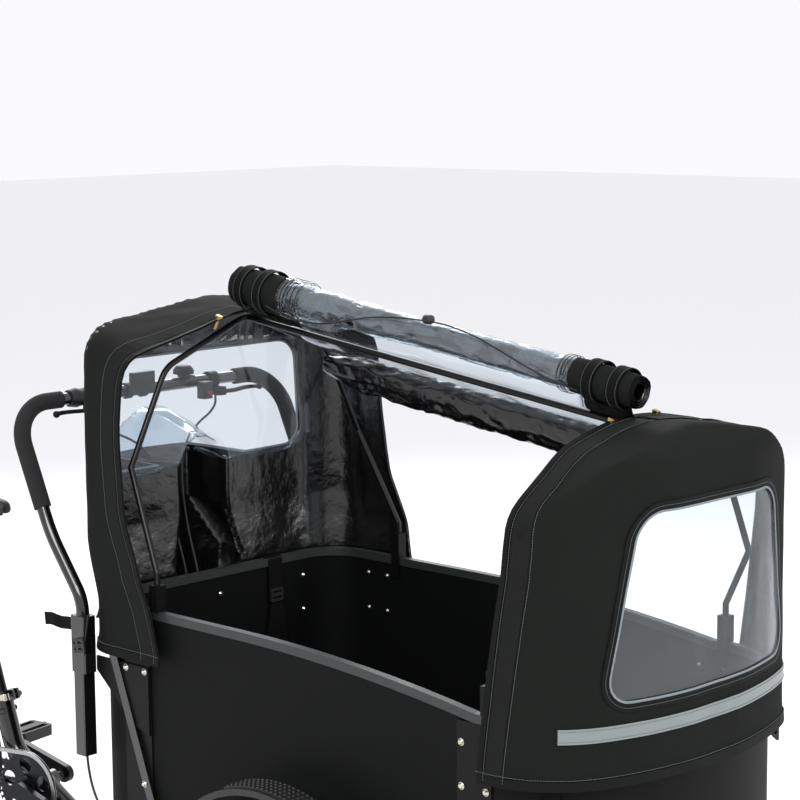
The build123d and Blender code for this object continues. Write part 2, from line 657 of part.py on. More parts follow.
TWIST_Y = -214.0
TWIST_LONG = 34.0
with BuildPart() as twist_shifter:
    with BuildSketch(Plane.XZ.offset(-TWIST_Y - TWIST_LONG / 2)):
        with Locations((BAR_X, BAR_Z)):
            Circle(20)
    extrude(amount=TWIST_LONG / 2, taper=10)
    with BuildSketch(Plane.XZ.offset(-TWIST_Y - TWIST_LONG / 2)):
        with Locations((BAR_X, BAR_Z)):
            Circle(20)
    extrude(amount=-TWIST_LONG / 2, taper=10)
    with BuildSketch(Plane.XZ.offset(300)):
        with Locations((BAR_X, BAR_Z)):
            Circle(BAR_TUBE / 2 + RUN_CLEAR)
    extrude(amount=-400, mode=Mode.SUBTRACT)
save(twist_shifter, "twist_shifter")

# ------------------------------------------------------------------ cables that the bicycle holds
CALLIPER = (34.0, 16.0, 46.0)
calliper_x = AXLE_X - 62
calliper_z = FRONT_WHEEL + 62
ROTOR_Y = hub_inner + 5
CABLE = 5.0
drop_x = REAR_WALL_X - 62
with BuildPart() as control_cables:
    for side in (-1, 1):
        cord(
            [
                (BAR_X + 14, side * LEVER_Y, BAR_Z - LEVER_DROP - EAR_GAP / 2 - EAR - 0.2),
                (BAR_X + 14, side * LEVER_Y, BAR_Z - 51),
                (BAR_X + 19, side * 148, BAR_Z - 67),
                (BAR_X + 26, side * 112, BAR_Z - 81),
                (BAR_X + 38, side * 72, BAR_Z - 102),
                (BAR_X + 52, side * 40, BAR_Z - 138),
                (BAR_X + 68, side * 22, BAR_Z - 196),
                (BAR_X + 88, side * 16, BAR_Z - 280),
                (drop_x - 6, side * 15, BAR_Z - 400),
                (drop_x, side * 14, BAR_Z - 560),
                (drop_x + 4, side * 15, BAR_Z - 700),
                (drop_x + 44, side * 17, FRAME_TOP - 4),
                (FRAME_REAR_X - 1, side * 18, frame_mid),
            ],
            CABLE,
            "control_cables",
        )
    for side in (-1, 1):
        cord(
            [
                (POST_X, side * BAR_HALF, POST_BOTTOM + 30),
                (POST_X + 2, side * BAR_HALF, POST_BOTTOM - 20),
                (POST_X + 16, side * (BAR_HALF + 1), POST_BOTTOM - 66),
                (POST_X + 44, side * (BAR_HALF + 2), POST_BOTTOM - 106),
                (POST_X + 92, side * (BAR_HALF + 4), POST_BOTTOM - 142),
                (POST_X + 160, side * (BAR_HALF + 6), POST_BOTTOM - 172),
                (POST_X + 240, side * (BAR_HALF + 7), POST_BOTTOM - 184),
                (POST_X + 330, side * (BAR_HALF + 6), POST_BOTTOM - 180),
                (POST_X + 400, side * (ROTOR_Y - 22), POST_BOTTOM - 174),
                (POST_X + 460, side * (ROTOR_Y - 24), POST_BOTTOM - 168),
                (calliper_x - CALLIPER[0] / 2, side * (ROTOR_Y - 24), calliper_z - 2),
            ],
            CABLE,
            "control_cables",
        )
save(control_cables, "control_cables")

# ------------------------------------------------------------------ rain tent: poles
pole_foot = BOX_TOP + TRIM_WALL + GAP + TRIM_WALL + GAP
front_foot = FRONT_TOP + TRIM_WALL + GAP + TRIM_WALL + GAP
RIDGE_REAR = 1318.0
RIDGE_FRONT = 1190.0
HOOP_BENDS = [60, 80, 60]
HOOP_REAR_X = BOX_X - 68.0     # the hoops lean away from the doorway, to stand inside the hoods
HOOP_FRONT_X = BOX_X + 922.0


def hoop(socket_x, foot, top_x, elbow, shoulder, ridge):
    """Pole from one socket over the box to the other; elbow and shoulder are (half width, height)."""
    knee_z = foot + SOCKET_TALL + 18
    for side in (-1, 1):
        knee = (socket_x, side * SOCKET_Y, knee_z)
        top = (top_x, side * elbow[0], elbow[1])
        rod((socket_x, side * SOCKET_Y, foot), knee, POLE)
        rod(knee, top, POLE)
        for joint in (knee, top):
            with Locations(joint):
                Sphere(POLE / 2)
    crown = [(-elbow[0], elbow[1]), (-shoulder[0], shoulder[1]), (0, ridge), (shoulder[0], shoulder[1]), (elbow[0], elbow[1])]
    tube([(top_x, y, z) for y, z in crown], HOOP_BENDS, POLE)


with BuildPart() as tent_poles:
    hoop(SOCKET_REAR_X, pole_foot, HOOP_REAR_X, (306, 1050), (215, 1232), RIDGE_REAR)
    hoop(SOCKET_FRONT_X, front_foot, HOOP_FRONT_X, (303, 930), (228, 1092), RIDGE_FRONT)
    rod((HOOP_REAR_X, 0, RIDGE_REAR - 6), (HOOP_FRONT_X, 0, RIDGE_FRONT - 4), POLE)
save(tent_poles, "tent_poles")


# ------------------------------------------------------------------ rain tent: hoods and windows
def arch(x, points, bends, shrink):
    """Tent section across the box at a place along X: right half points from the hem to the ridge."""
    with BuildSketch(Plane.YZ.offset(x)) as section:
        with BuildLine() as edge:
            left = [(-y, z) for y, z in points]
            right = [(y, z) for y, z in reversed(points[:-1])]
            FilletPolyline(*left, *right, radius=bends + bends[-2::-1])
            Line((points[0][0], points[0][1]), (-points[0][0], points[0][1]))
        make_face(edge.edges())
        if shrink:
            offset(amount=-shrink, kind=Kind.INTERSECTION, mode=Mode.REPLACE)
    return section.sketch


REAR_ARCH_BACK = [(373, 560), (352, 1180), (340, 1322), (0, 1364)]
REAR_ARCH_EDGE = [(376, 560), (350, 1110), (338, 1206), (0, 1347)]
REAR_BENDS = [400, 60, 500]
FRONT_ARCH = [(371, 540), (346, 1090), (205, 1178), (0, 1217)]
FRONT_BENDS = [70, 250, 500]
REAR_GROW = 38.0
SKIRT_GROW = 22.0        # the rear hood is drawn in above its hem, inside the handlebar's posts
SKIRT_TOP = SLEEVE_TOP + 33
SKIRT_BLEND = 900.0
FRONT_GROW = 26.0
rear_back_x = REAR_WALL_X - REAR_GROW - 30
rear_edge_x = BOX_X + 110


def rear_hood_solid(inset, mode=Mode.ADD):
    """Body of the rear hood, or its inside when inset, in the current part."""
    with BuildPart(mode=Mode.PRIVATE) as body:
        loft(
            [
                arch(rear_back_x, REAR_ARCH_BACK, REAR_BENDS, inset),
                arch(rear_edge_x, REAR_ARCH_EDGE, REAR_BENDS, inset),
            ],
            ruled=True,
        )
        with BuildPart(mode=Mode.PRIVATE) as column:
            with BuildSketch(Plane.XY.offset(HEM_REAR - (inset > 0))) as skirt:
                box_outline(SKIRT_GROW - inset)
            extrude(skirt.sketch, amount=SKIRT_TOP - HEM_REAR + (inset > 0))
            with BuildSketch(Plane.XY.offset(SKIRT_TOP)) as low:
                box_outline(SKIRT_GROW - inset)
            with BuildSketch(Plane.XY.offset(SKIRT_BLEND)) as high:
                box_outline(REAR_GROW - inset)
            loft([low.sketch, high.sketch], ruled=True)
            extrude(high.sketch, amount=600)
        add(column.part, mode=Mode.INTERSECT)
    add(body.part, mode=mode)


def front_hood_solid(inset, mode=Mode.ADD):
    """Body of the front hood, or its inside when inset, in the current part."""
    with BuildPart(mode=Mode.PRIVATE) as body:
        extrude(arch(BOX_X + 700, FRONT_ARCH, FRONT_BENDS, inset), amount=500)
        with BuildSketch(Plane.XY.offset(HEM_FRONT - (inset > 0))) as plan:
            box_outline(FRONT_GROW - inset)
        extrude(plan.sketch, amount=900, mode=Mode.INTERSECT)
        with BuildSketch(Plane.XZ.offset(-BOX_HALF - 200)) as side_view:
            with BuildLine() as edge:
                FilletPolyline(
                    (BOX_X + 600, 500),
                    (BOX_X + 600, 1240 - inset),
                    (BOX_X + 1000, 1222 - inset),
                    (NOSE_X + FRONT_GROW - 8 - inset, 1165 - inset),
                    (NOSE_X + FRONT_GROW - inset, 500),
                    radius=[0, 120, 50],
                )
                Line((NOSE_X + FRONT_GROW - inset, 500), (BOX_X + 600, 500))
            make_face(edge.edges())
        extrude(side_view.sketch, amount=2 * BOX_HALF + 400, mode=Mode.INTERSECT)
    add(body.part, mode=mode)


def keep_behind(points):
    """Keep what lies behind a zip edge, given as (x, z) points from the hem up."""
    with BuildSketch(Plane.XZ.offset(-BOX_HALF - 100)) as keep:
        with BuildLine() as edge:
            Spline(*points)
            Polyline(points[-1], (BOX_X - 400, points[-1][1]), (BOX_X - 400, points[0][1]), points[0])
        make_face(edge.edges())
    extrude(keep.sketch, amount=2 * BOX_HALF + 200, mode=Mode.INTERSECT)


def keep_ahead(points):
    """Keep what lies ahead of a zip edge, given as (x, z) points from the hem up."""
    with BuildSketch(Plane.XZ.offset(-BOX_HALF - 100)) as keep:
        with BuildLine() as edge:
            Spline(*points)
            Polyline(points[-1], (BOX_X + 1300, points[-1][1]), (BOX_X + 1300, points[0][1]), points[0])
        make_face(edge.edges())
    extrude(keep.sketch, amount=2 * BOX_HALF + 200, mode=Mode.INTERSECT)


REAR_ZIP = [(BOX_X + 72, 680), (BOX_X + 22, 870), (BOX_X - 20, 1000), (BOX_X - 40, 1180), (BOX_X - 34, 1420)]
FRONT_ZIP = [(BOX_X + 842, 600), (BOX_X + 866, 810), (BOX_X + 896, 1000), (BOX_X + 898, 1110), (BOX_X + 872, 1280)]
REAR_WINDOW_HALF = 272.0
REAR_WINDOW_LOW = 1012.0
REAR_WINDOW_HIGH = 1238.0


def rear_window_hole(mode):
    with BuildSketch(Plane.YZ.offset(REAR_WALL_X - 120)) as pane:
        with Locations((0, (REAR_WINDOW_LOW + REAR_WINDOW_HIGH) / 2)):
            RectangleRounded(2 * REAR_WINDOW_HALF, REAR_WINDOW_HIGH - REAR_WINDOW_LOW, 45)
    extrude(pane.sketch, amount=160, mode=mode)


def front_window_hole(mode):
    with BuildSketch(Plane.YZ.offset(BOX_X + 960)) as pane:
        with BuildLine() as edge:
            FilletPolyline((-255, 775), (255, 775), (192, 1092), (-192, 1092), radius=28, close=True)
        make_face(edge.edges())
    extrude(pane.sketch, amount=260, mode=mode)


with BuildPart() as rear_hood:
    rear_hood_solid(0)
    rear_hood_solid(HOOD_THICK, mode=Mode.SUBTRACT)
    keep_behind(REAR_ZIP)
    rear_window_hole(Mode.SUBTRACT)
save(rear_hood, "rear_hood")

with BuildPart() as front_hood:
    front_hood_solid(0)
    front_hood_solid(HOOD_THICK, mode=Mode.SUBTRACT)
    keep_ahead(FRONT_ZIP)
    front_window_hole(Mode.SUBTRACT)
save(front_hood, "front_hood")

with BuildPart() as hood_windows:
    with BuildPart(mode=Mode.PRIVATE) as rear_pane:
        rear_hood_solid(0)
        rear_hood_solid(HOOD_THICK, mode=Mode.SUBTRACT)
        rear_window_hole(Mode.INTERSECT)
    with BuildPart(mode=Mode.PRIVATE) as front_pane:
        front_hood_solid(0)
        front_hood_solid(HOOD_THICK, mode=Mode.SUBTRACT)
        front_window_hole(Mode.INTERSECT)
    add(rear_pane.part)
    add(front_pane.part)
save(hood_windows, "hood_windows")

# ------------------------------------------------------------------ rain tent: rolled doors and straps
ROLL_START = BOX_X - 42
ROLL_END = BOX_X + 936
ROLL_START_Z = 1380.0
ROLL_END_Z = 1256.0
roll_run = Vector(ROLL_END - ROLL_START, 0, ROLL_END_Z - ROLL_START_Z)
roll_along = roll_run.normalized()
ROLL_RADII = ((0.0, 40.0), (0.12, 42.0), (0.5, 31.0), (0.9, 35.0), (1.0, 33.0))


def roll_plane(share):
    origin = Vector(ROLL_START, ROLL_Y, ROLL_START_Z) + roll_run * share
    return Plane(origin=origin, x_dir=(0, 1, 0), z_dir=roll_along)


def roll_radius(share):
    for (before, small), (after, large) in zip(ROLL_RADII, ROLL_RADII[1:]):
        if share <= after:
            return small + (large - small) * (share - before) / (after - before)
    return ROLL_RADII[-1][1]


with BuildPart() as door_roll_right:
    for share, radius in ROLL_RADII:
        with BuildSketch(roll_plane(share)):
            Circle(radius)
    loft(ruled=True)
save(door_roll_right, "door_roll_right")

DROOP_Y = 108.0
DROOP_REAR = (BOX_X + 44, 1216.0)
DROOP_FRONT = (BOX_X + 845, 1112.0)
DROOP_HALF_WIDE = 26.0
DROOP_HALF_TALL = 37.0
film_top = RIDGE_REAR - 26
with BuildPart() as door_roll_left:
    droop_run = Vector(DROOP_FRONT[0] - DROOP_REAR[0], 0, DROOP_FRONT[1] - DROOP_REAR[1])
    with BuildSketch(Plane(origin=(DROOP_REAR[0], DROOP_Y, DROOP_REAR[1]), x_dir=(0, 1, 0), z_dir=droop_run)) as droop:
        Ellipse(DROOP_HALF_WIDE, DROOP_HALF_TALL)
    extrude(amount=droop_run.length)
save(door_roll_left, "door_roll_left")

STRAP = 25.0
STRAP_THICK = 2.0
ROLL_LOOPS = (0.03, 0.085, 0.91, 0.965)
LOOP_CLEAR = 0.8
rear_hood_side = BOX_HALF + SKIRT_GROW
with BuildPart() as tent_straps:
    for share in ROLL_LOOPS:
        radius = max(roll_radius(share - 0.014), roll_radius(share + 0.014)) + LOOP_CLEAR
        with BuildSketch(roll_plane(share).offset(-STRAP / 2)):
            Circle(radius + STRAP_THICK)
            Circle(radius, mode=Mode.SUBTRACT)
        extrude(amount=STRAP)
    # Hood strap down each side, between the hem and the buckle beside the post.
    for side in (-1, 1):
        strap_y = side * (BAR_HALF + POST / 2 + 1.5 + STRAP_THICK / 2)
        with Locations(Location((POST_X + 12, strap_y, 706), (0, 12, 0))):
            Box(STRAP, STRAP_THICK, 116)
        with Locations((POST_X - SLEEVE / 2 - 54, side * BAR_HALF, 733)):
            Box(96, STRAP_THICK, STRAP)
        with Locations(Location((NOSE_X - 78, side * 311, 636), (0, 0, side * 52))):
            Box(STRAP_THICK, STRAP, 66)
save(tent_straps, "tent_straps")

LADDER_WIDE = 34.0
LADDER_TALL = 28.0
LADDER_THICK = 4.0
LADDER_SLOT = 4.5


def ladder(place):
    """Ladder buckle: a plate with two slots, standing on a plane, in the current part."""
    with BuildSketch(place) as plate:
        RectangleRounded(LADDER_WIDE, LADDER_TALL, 3)
        with Locations((0, 6), (0, -6)):
            RectangleRounded(LADDER_WIDE - 8, LADDER_SLOT, 1, mode=Mode.SUBTRACT)
    extrude(plate.sketch, amount=LADDER_THICK)


with BuildPart() as strap_buckles:
    for side in (-1, 1):
        buckle_y = side * (BAR_HALF + POST / 2 + 1.5 + STRAP_THICK + 0.2)
        ladder(Plane(origin=(POST_X + 12, buckle_y, 702), x_dir=(1, 0, 0.21), z_dir=(0, side, 0)))
        lean = radians(52)
        out = Vector(cos(lean), side * sin(lean), 0)
        centre = Vector(NOSE_X - 78, side * 311, 606) + out * (STRAP_THICK / 2 + 0.2)
        ladder(Plane(origin=centre, x_dir=(-side * out.Y, side * out.X, 0), z_dir=out))
    ladder(Plane(origin=(belt_inner + WEB_THICK + 0.3, BELT_Y, ADJUSTER_Z), x_dir=(0, 1, 0), z_dir=(1, 0, 0)))
save(strap_buckles, "strap_buckles")

# Elastic cord that lies along the right roll, from one loop to another, with its lock.
ELASTIC = 3.0
lift = ELASTIC / 2 + 2.2
ELASTIC_STATIONS = (
    (0.115, 200), (0.15, 216), (0.19, 225), (0.235, 222), (0.28, 210), (0.325, 190), (0.37, 168),
    (0.415, 150), (0.46, 136), (0.505, 124), (0.55, 118), (0.595, 122), (0.64, 132), (0.685, 146),
    (0.73, 162), (0.775, 178), (0.82, 192), (0.86, 201), (0.892, 206),
)


def on_roll(share, angle):
    """Point just off the right roll's surface, at an angle round it from its left side."""
    place = roll_plane(share)
    reach = roll_radius(share) + lift
    return tuple(place.from_local_coords((reach * cos(radians(angle)), reach * sin(radians(angle)), 0)))


elastic_route = [on_roll(share, angle) for share, angle in ELASTIC_STATIONS]
with BuildPart() as roll_elastic:
    cord(elastic_route, ELASTIC, "roll_elastic")
save(roll_elastic, "roll_elastic")

LOCK = 17.0
lock_place = Vector(*on_roll(0.53, 121)) + Vector(0, -9.5, 5.5)
with BuildPart() as cord_lock:
    with Locations(lock_place):
        Cylinder(LOCK / 2, 20, rotation=(0, 90, 0))
    fillet(cord_lock.edges(), 4)
save(cord_lock, "cord_lock")

# ------------------------------------------------------------------ wheels
RIM_WIDE = 27.0
RIM_DEEP = 18.0
RIM_WALL = 2.5
TYRE_WALL = 3.5
BEAD = 12.0              # how far up the tyre's section the rim's edge reaches
SPOKES = 28
SPOKE = 2.6
FLANGE = 62.0
ROTOR = 160.0
ROTOR_THICK = 2.0


def ring(plane, points):
    """Revolve a closed outline (radius, place along the axle) about a plane's normal."""
    axle = Axis(plane.origin, plane.z_dir)
    with BuildSketch(Plane(origin=plane.origin, x_dir=plane.x_dir, z_dir=-plane.y_dir)) as outline:
        with BuildLine() as edge:
            Polyline(*points, close=True)
        make_face(edge.edges())
    revolve(outline.sketch, axis=axle)


def tyre_on(plane, radius):
    """Hollow tyre about a wheel's centre plane, open where the rim closes it."""
    middle = radius - TYRE_HALF
    axle = Axis(plane.origin, plane.z_dir)
    with BuildSketch(Plane(origin=plane.origin, x_dir=plane.x_dir, z_dir=-plane.y_dir)) as outline:
        with Locations((middle, 0)):
            Circle(TYRE_HALF)
            Circle(TYRE_HALF - TYRE_WALL, mode=Mode.SUBTRACT)
        with Locations((middle - TYRE_HALF, 0)):
            Rectangle(2 * BEAD, RIM_WIDE + 2 * TYRE_WALL, mode=Mode.SUBTRACT)
    revolve(outline.sketch, axis=axle)


def rim_on(plane, radius):
    """Box-section rim whose edge closes the tyre."""
    top = radius - 2 * TYRE_HALF + BEAD - 0.2
    half = RIM_WIDE / 2
    ring(
        plane,
        [
            (top, -half),
            (top - RIM_DEEP * 0.6, -half),
            (top - RIM_DEEP, -half * 0.55),
            (top - RIM_DEEP, half * 0.55),
            (top - RIM_DEEP * 0.6, half),
            (top, half),
            (top, half - RIM_WALL),
            (top - RIM_DEEP * 0.45, half - RIM_WALL),
            (top - RIM_DEEP * 0.45, RIM_WALL - half),
            (top, RIM_WALL - half),
        ],
    )


def hub_on(plane, radius, low, high, bore, disc_at=None):
    """Hub shell with two flanges, laced spokes and, on a front wheel, its brake disc."""
    rod(plane.from_local_coords((0, 0, low)), plane.from_local_coords((0, 0, high)), 34)
    rim_inside = radius - 2 * TYRE_HALF + BEAD - 0.2 - RIM_DEEP - 0.3
    for flange_at in (low + 9, high - 9):
        rod(plane.from_local_coords((0, 0, flange_at - 1.5)), plane.from_local_coords((0, 0, flange_at + 1.5)), FLANGE)
    for spoke in range(SPOKES):
        flange_at = low + 9 if spoke % 2 else high - 9
        cross = 22 if spoke % 4 < 2 else -22
        around = 360 / SPOKES * spoke
        foot = Vector(FLANGE / 2 - 4, 0, flange_at).rotate(Axis.Z, around + cross)
        tip = Vector(rim_inside, 0, 0).rotate(Axis.Z, around)
        rod(plane.from_local_coords(foot), plane.from_local_coords(tip), SPOKE)
    if disc_at is not None:
        rod(
            plane.from_local_coords((0, 0, disc_at - ROTOR_THICK / 2)),
            plane.from_local_coords((0, 0, disc_at + ROTOR_THICK / 2)),
            ROTOR,
        )
    rod(plane.from_local_coords((0, 0, low - 1)), plane.from_local_coords((0, 0, high + 1)), bore, mode=Mode.SUBTRACT)


for side, side_name in ((-1, "right"), (1, "left")):
    wheel = Plane(origin=(AXLE_X, side * TRACK_HALF, FRONT_WHEEL), x_dir=(1, 0, 0), z_dir=(0, side, 0))
    with BuildPart() as front_tyre:
        tyre_on(wheel, FRONT_WHEEL)
    save(front_tyre, f"front_tyre_{side_name}")
    with BuildPart() as front_rim:
        rim_on(wheel, FRONT_WHEEL)
    save(front_rim, f"front_rim_{side_name}")
    with BuildPart() as front_hub:
        hub_on(wheel, FRONT_WHEEL, -HUB_HALF, HUB_HALF - 12, HUB_BORE, disc_at=ROTOR_Y - TRACK_HALF)
    save(front_hub, f"front_hub_{side_name}")

# ------------------------------------------------------------------ brake callipers and mudguards
rotor_slot = ROTOR_THICK + 2 * GAP
with BuildPart() as brake_callipers:
    for side in (-1, 1):
        with Locations((calliper_x + 2, side * (ROTOR_Y - 3), calliper_z)):
            Box(CALLIPER[0], CALLIPER[1], CALLIPER[2])
        rod((AXLE_X, side * (ROTOR_Y - CALLIPER[1] / 2 - 3), FRONT_WHEEL), (AXLE_X, side * (hub_inner - GAP), FRONT_WHEEL), 46)
        with BuildSketch(Plane.XZ.offset(-side * (ROTOR_Y - CALLIPER[1] / 2) - 3)):
            with BuildLine():
                Polyline(
                    (AXLE_X - 20, FRONT_WHEEL - 8),
                    (AXLE_X + 10, FRONT_WHEEL + 20),
                    (calliper_x + 16, calliper_z + 16),
                    (calliper_x - 12, calliper_z - 12),
                    close=True,
                )
            make_face()
        extrude(amount=6)
        with Locations((AXLE_X, side * ROTOR_Y, FRONT_WHEEL)):
            Cylinder(ROTOR / 2 + 2, rotor_slot, rotation=(90, 0, 0), mode=Mode.SUBTRACT)
        rod((AXLE_X, side * 300, FRONT_WHEEL), (AXLE_X, side * 420, FRONT_WHEEL), AXLE_BOSS + 2 * RUN_CLEAR, mode=Mode.SUBTRACT)
save(brake_callipers, "brake_callipers")

GUARD_THICK = 3.0
GUARD_LIP = 9.0
GUARD_START = 20.0
GUARD_SWEEP = 150.0
guard_inner = FRONT_WHEEL + MUDGUARD_GAP


def guard_section(plane, inner, half):
    """Channel section of a mudguard, ready to be revolved about the wheel's axle."""
    with BuildSketch(plane) as section:
        with Locations((inner + GUARD_THICK / 2 - GUARD_LIP / 2, 0)):
            Rectangle(GUARD_THICK + GUARD_LIP, 2 * half)
        with Locations((inner - GUARD_LIP / 2 - 1, 0)):
            Rectangle(GUARD_LIP + 2, 2 * half - 2 * GUARD_THICK, mode=Mode.SUBTRACT)
    return section.sketch


PAD_THICK = 4.0
PAD_HALF_ANGLE = 19.0
PAD_HALF = 26.0
with BuildPart() as front_mudguards:
    for side in (-1, 1):
        axle = Axis((AXLE_X, side * TRACK_HALF, FRONT_WHEEL), (0, -1, 0))
        start = radians(GUARD_START)
        at_start = Plane(
            origin=(AXLE_X, side * TRACK_HALF, FRONT_WHEEL), x_dir=(cos(start), 0, sin(start)), z_dir=(sin(start), 0, -cos(start))
        )
        revolve(guard_section(at_start, guard_inner, MUDGUARD_HALF), axis=axle, revolution_arc=GUARD_SWEEP)
    for side in (-1, 1):
        start = radians(90 - PAD_HALF_ANGLE)
        at_start = Plane(
            origin=(AXLE_X, side * TRACK_HALF, FRONT_WHEEL), x_dir=(cos(start), 0, sin(start)), z_dir=(sin(start), 0, -cos(start))
        )
        with BuildSketch(at_start) as pad:
            with Locations((guard_inner + GUARD_THICK + PAD_THICK / 2, 0)):
                Rectangle(PAD_THICK, 2 * PAD_HALF)
        revolve(pad.sketch, axis=Axis((AXLE_X, side * TRACK_HALF, FRONT_WHEEL), (0, -1, 0)), revolution_arc=2 * PAD_HALF_ANGLE)
save(front_mudguards, "front_mudguards")

STAY = 6.0
STAY_ANGLES = (38.0, 136.0, 142.0)
YOKE = 129.0             # bent strap under the stays, clear of the calliper
stay_y = TRACK_HALF - MUDGUARD_HALF - STAY / 2 - 0.2
with BuildPart() as mudguard_stays:
    for side in (-1, 1):
        for angle in STAY_ANGLES:
            turn = radians(angle)
            reach = guard_inner - 1
            tip = (AXLE_X + reach * cos(turn), side * stay_y, FRONT_WHEEL + reach * sin(turn))
            rod((AXLE_X + YOKE * cos(turn), side * stay_y, FRONT_WHEEL + YOKE * sin(turn)), tip, STAY)
            out = Vector(cos(turn), 0, sin(turn))
            crown = Vector(AXLE_X, side * (TRACK_HALF - 18), FRONT_WHEEL) + out * (guard_inner + GUARD_THICK)
            dome(Plane(origin=crown, z_dir=out))
        with BuildSketch(Plane.XZ.offset(-side * stay_y - STAY / 2)) as yoke:
            Circle(YOKE + STAY)
            Circle(YOKE - STAY, mode=Mode.SUBTRACT)
            Rectangle(3 * YOKE, 2 * YOKE * sin(radians(30)), mode=Mode.SUBTRACT)
            with Locations((0, -YOKE)):
                Rectangle(3 * YOKE, 2 * YOKE, mode=Mode.SUBTRACT)
        extrude(yoke.sketch.moved(Location((AXLE_X, 0, FRONT_WHEEL))), amount=STAY)
        arm_x = AXLE_X + 17
        rod((arm_x, side * stay_y, FRONT_WHEEL + 19), (arm_x, side * stay_y, FRONT_WHEEL + YOKE), STAY)
save(mudguard_stays, "mudguard_stays")

# ------------------------------------------------------------------ rear wheel, on the rear frame's own plane
REAR_WHEEL_PLANE = Plane(
    origin=REAR.from_local_coords((REAR_AXLE_U, 0, REAR_WHEEL)), x_dir=REAR.x_dir, z_dir=REAR.y_dir
)
CHAIN_LINE = -48.0
REAR_HUB_LOW = -37.0
REAR_HUB_HIGH = 47.0
REAR_AXLE = 10.0
DROPOUT_V = 66.0
DROPOUT = 6.0
with BuildPart() as rear_tyre:
    tyre_on(REAR_WHEEL_PLANE, REAR_WHEEL)
save(rear_tyre, "rear_tyre")

with BuildPart() as rear_rim:
    rim_on(REAR_WHEEL_PLANE, REAR_WHEEL)
save(rear_rim, "rear_rim")

with BuildPart() as rear_hub:
    hub_on(REAR_WHEEL_PLANE, REAR_WHEEL, REAR_HUB_LOW, REAR_HUB_HIGH, REAR_AXLE + 2 * RUN_CLEAR)
save(rear_hub, "rear_hub")

# ------------------------------------------------------------------ rear frame
BRACKET_TUBE = 42.0
BRACKET_HALF = 34.0
CRANK_AXLE = 20.0
SEAT_LEAN = degrees(atan2(118.0, 375.0 + 30.0))
SEAT_BORE_DEEP = 150.0
SEAT_KNEE_Z = 342.0
CLAMP_RING = 54.0
CLAMP_TALL = 26.0
seat_along = Vector(-sin(radians(SEAT_LEAN)), 0, cos(radians(SEAT_LEAN)))
seat_top = Vector(SEAT_TUBE_TOP_U, 0, SEAT_TUBE_TOP_Z)
knee_u = SEAT_TUBE_TOP_U + (SEAT_TUBE_TOP_Z - SEAT_KNEE_Z) * tan(radians(SEAT_LEAN))
HEAD_MID = (HEAD_LOW + HEAD_HIGH) / 2


def rear_rod(start, end, diameter, mode=Mode.ADD):
    """Cylinder between two points given on the rear frame's own axes."""
    rod(REAR.from_local_coords(start), REAR.from_local_coords(end), diameter, mode)


def seat_point(along, across=0.0, out=0.0):
    """Point by distance along the seat tube from its top, across the frame, and out behind the tube."""
    back = Vector(-seat_along.Z, 0, seat_along.X)
    return seat_top + seat_along * along + Vector(0, across, 0) + back * out


clamp_pin = seat_point(-CLAMP_TALL / 2, 0, -CLAMP_RING / 2 - 9)
with BuildPart() as rear_frame:
    rear_rod((0, 0, HEAD_LOW), (0, 0, HEAD_HIGH), HEAD_TUBE)
    tube([(-8, 0, HEAD_MID), (-700, 0, HEAD_MID), (knee_u, 0, SEAT_KNEE_Z), tuple(seat_top)], [190, 80], HEAD_TUBE, plane=REAR)
    rear_rod(seat_point(-CLAMP_TALL), seat_top, CLAMP_RING)
    for v in (-7.0, 7.0):
        with BuildSketch(rear_side(v + 3)) as ear:
            with Locations(Location((clamp_pin.X - 6, clamp_pin.Z), SEAT_LEAN)):
                RectangleRounded(26, CLAMP_TALL - 2, 4)
        extrude(ear.sketch, amount=6)
    rear_rod((clamp_pin.X, -17, clamp_pin.Z), (clamp_pin.X, 13, clamp_pin.Z), 6)
    rear_rod((clamp_pin.X, 10, clamp_pin.Z), (clamp_pin.X, 17, clamp_pin.Z), 14)
    rear_rod((BRACKET_U, -BRACKET_HALF, BRACKET_Z), (BRACKET_U, BRACKET_HALF, BRACKET_Z), BRACKET_TUBE)
    for side in (-1, 1):
        chain_stay = [
            (BRACKET_U - 8, side * 22, BRACKET_Z),
            (BRACKET_U - 70, side * 32, BRACKET_Z + 2),
            (BRACKET_U - 145, side * 47, BRACKET_Z + 6),
            (REAR_AXLE_U + 22, side * DROPOUT_V, REAR_WHEEL - 1),
        ]
        tube(chain_stay, [90, 120], 18, plane=REAR)
        seat_stay = [
            (SEAT_TUBE_TOP_U + 24, side * 14, SEAT_TUBE_TOP_Z - 36),
            (SEAT_TUBE_TOP_U - 34, side * 45, SEAT_TUBE_TOP_Z - 60),
            (REAR_AXLE_U + 18, side * DROPOUT_V, REAR_WHEEL + 28),
        ]
        tube(seat_stay, [40], 14, plane=REAR)
        with BuildSketch(rear_side(side * DROPOUT_V + DROPOUT / 2)) as dropout:
            with Locations((REAR_AXLE_U, REAR_WHEEL + 6)):
                RectangleRounded(44, 58, 12)
        extrude(dropout.sketch, amount=DROPOUT)
    rear_rod((0, 0, HEAD_LOW - 5), (0, 0, HEAD_HIGH + 5), KINGPIN + 2 * RUN_CLEAR, mode=Mode.SUBTRACT)
    rear_rod(seat_point(-SEAT_BORE_DEEP), seat_point(5), SEAT_POST + 2 * RUN_CLEAR, mode=Mode.SUBTRACT)
    rear_rod((BRACKET_U, -60, BRACKET_Z), (BRACKET_U, 60, BRACKET_Z), CRANK_AXLE + 2 * RUN_CLEAR, mode=Mode.SUBTRACT)
    rear_rod((REAR_AXLE_U, -90, REAR_WHEEL), (REAR_AXLE_U, 90, REAR_WHEEL), REAR_AXLE + 0.1, mode=Mode.SUBTRACT)
save(rear_frame, "rear_frame")

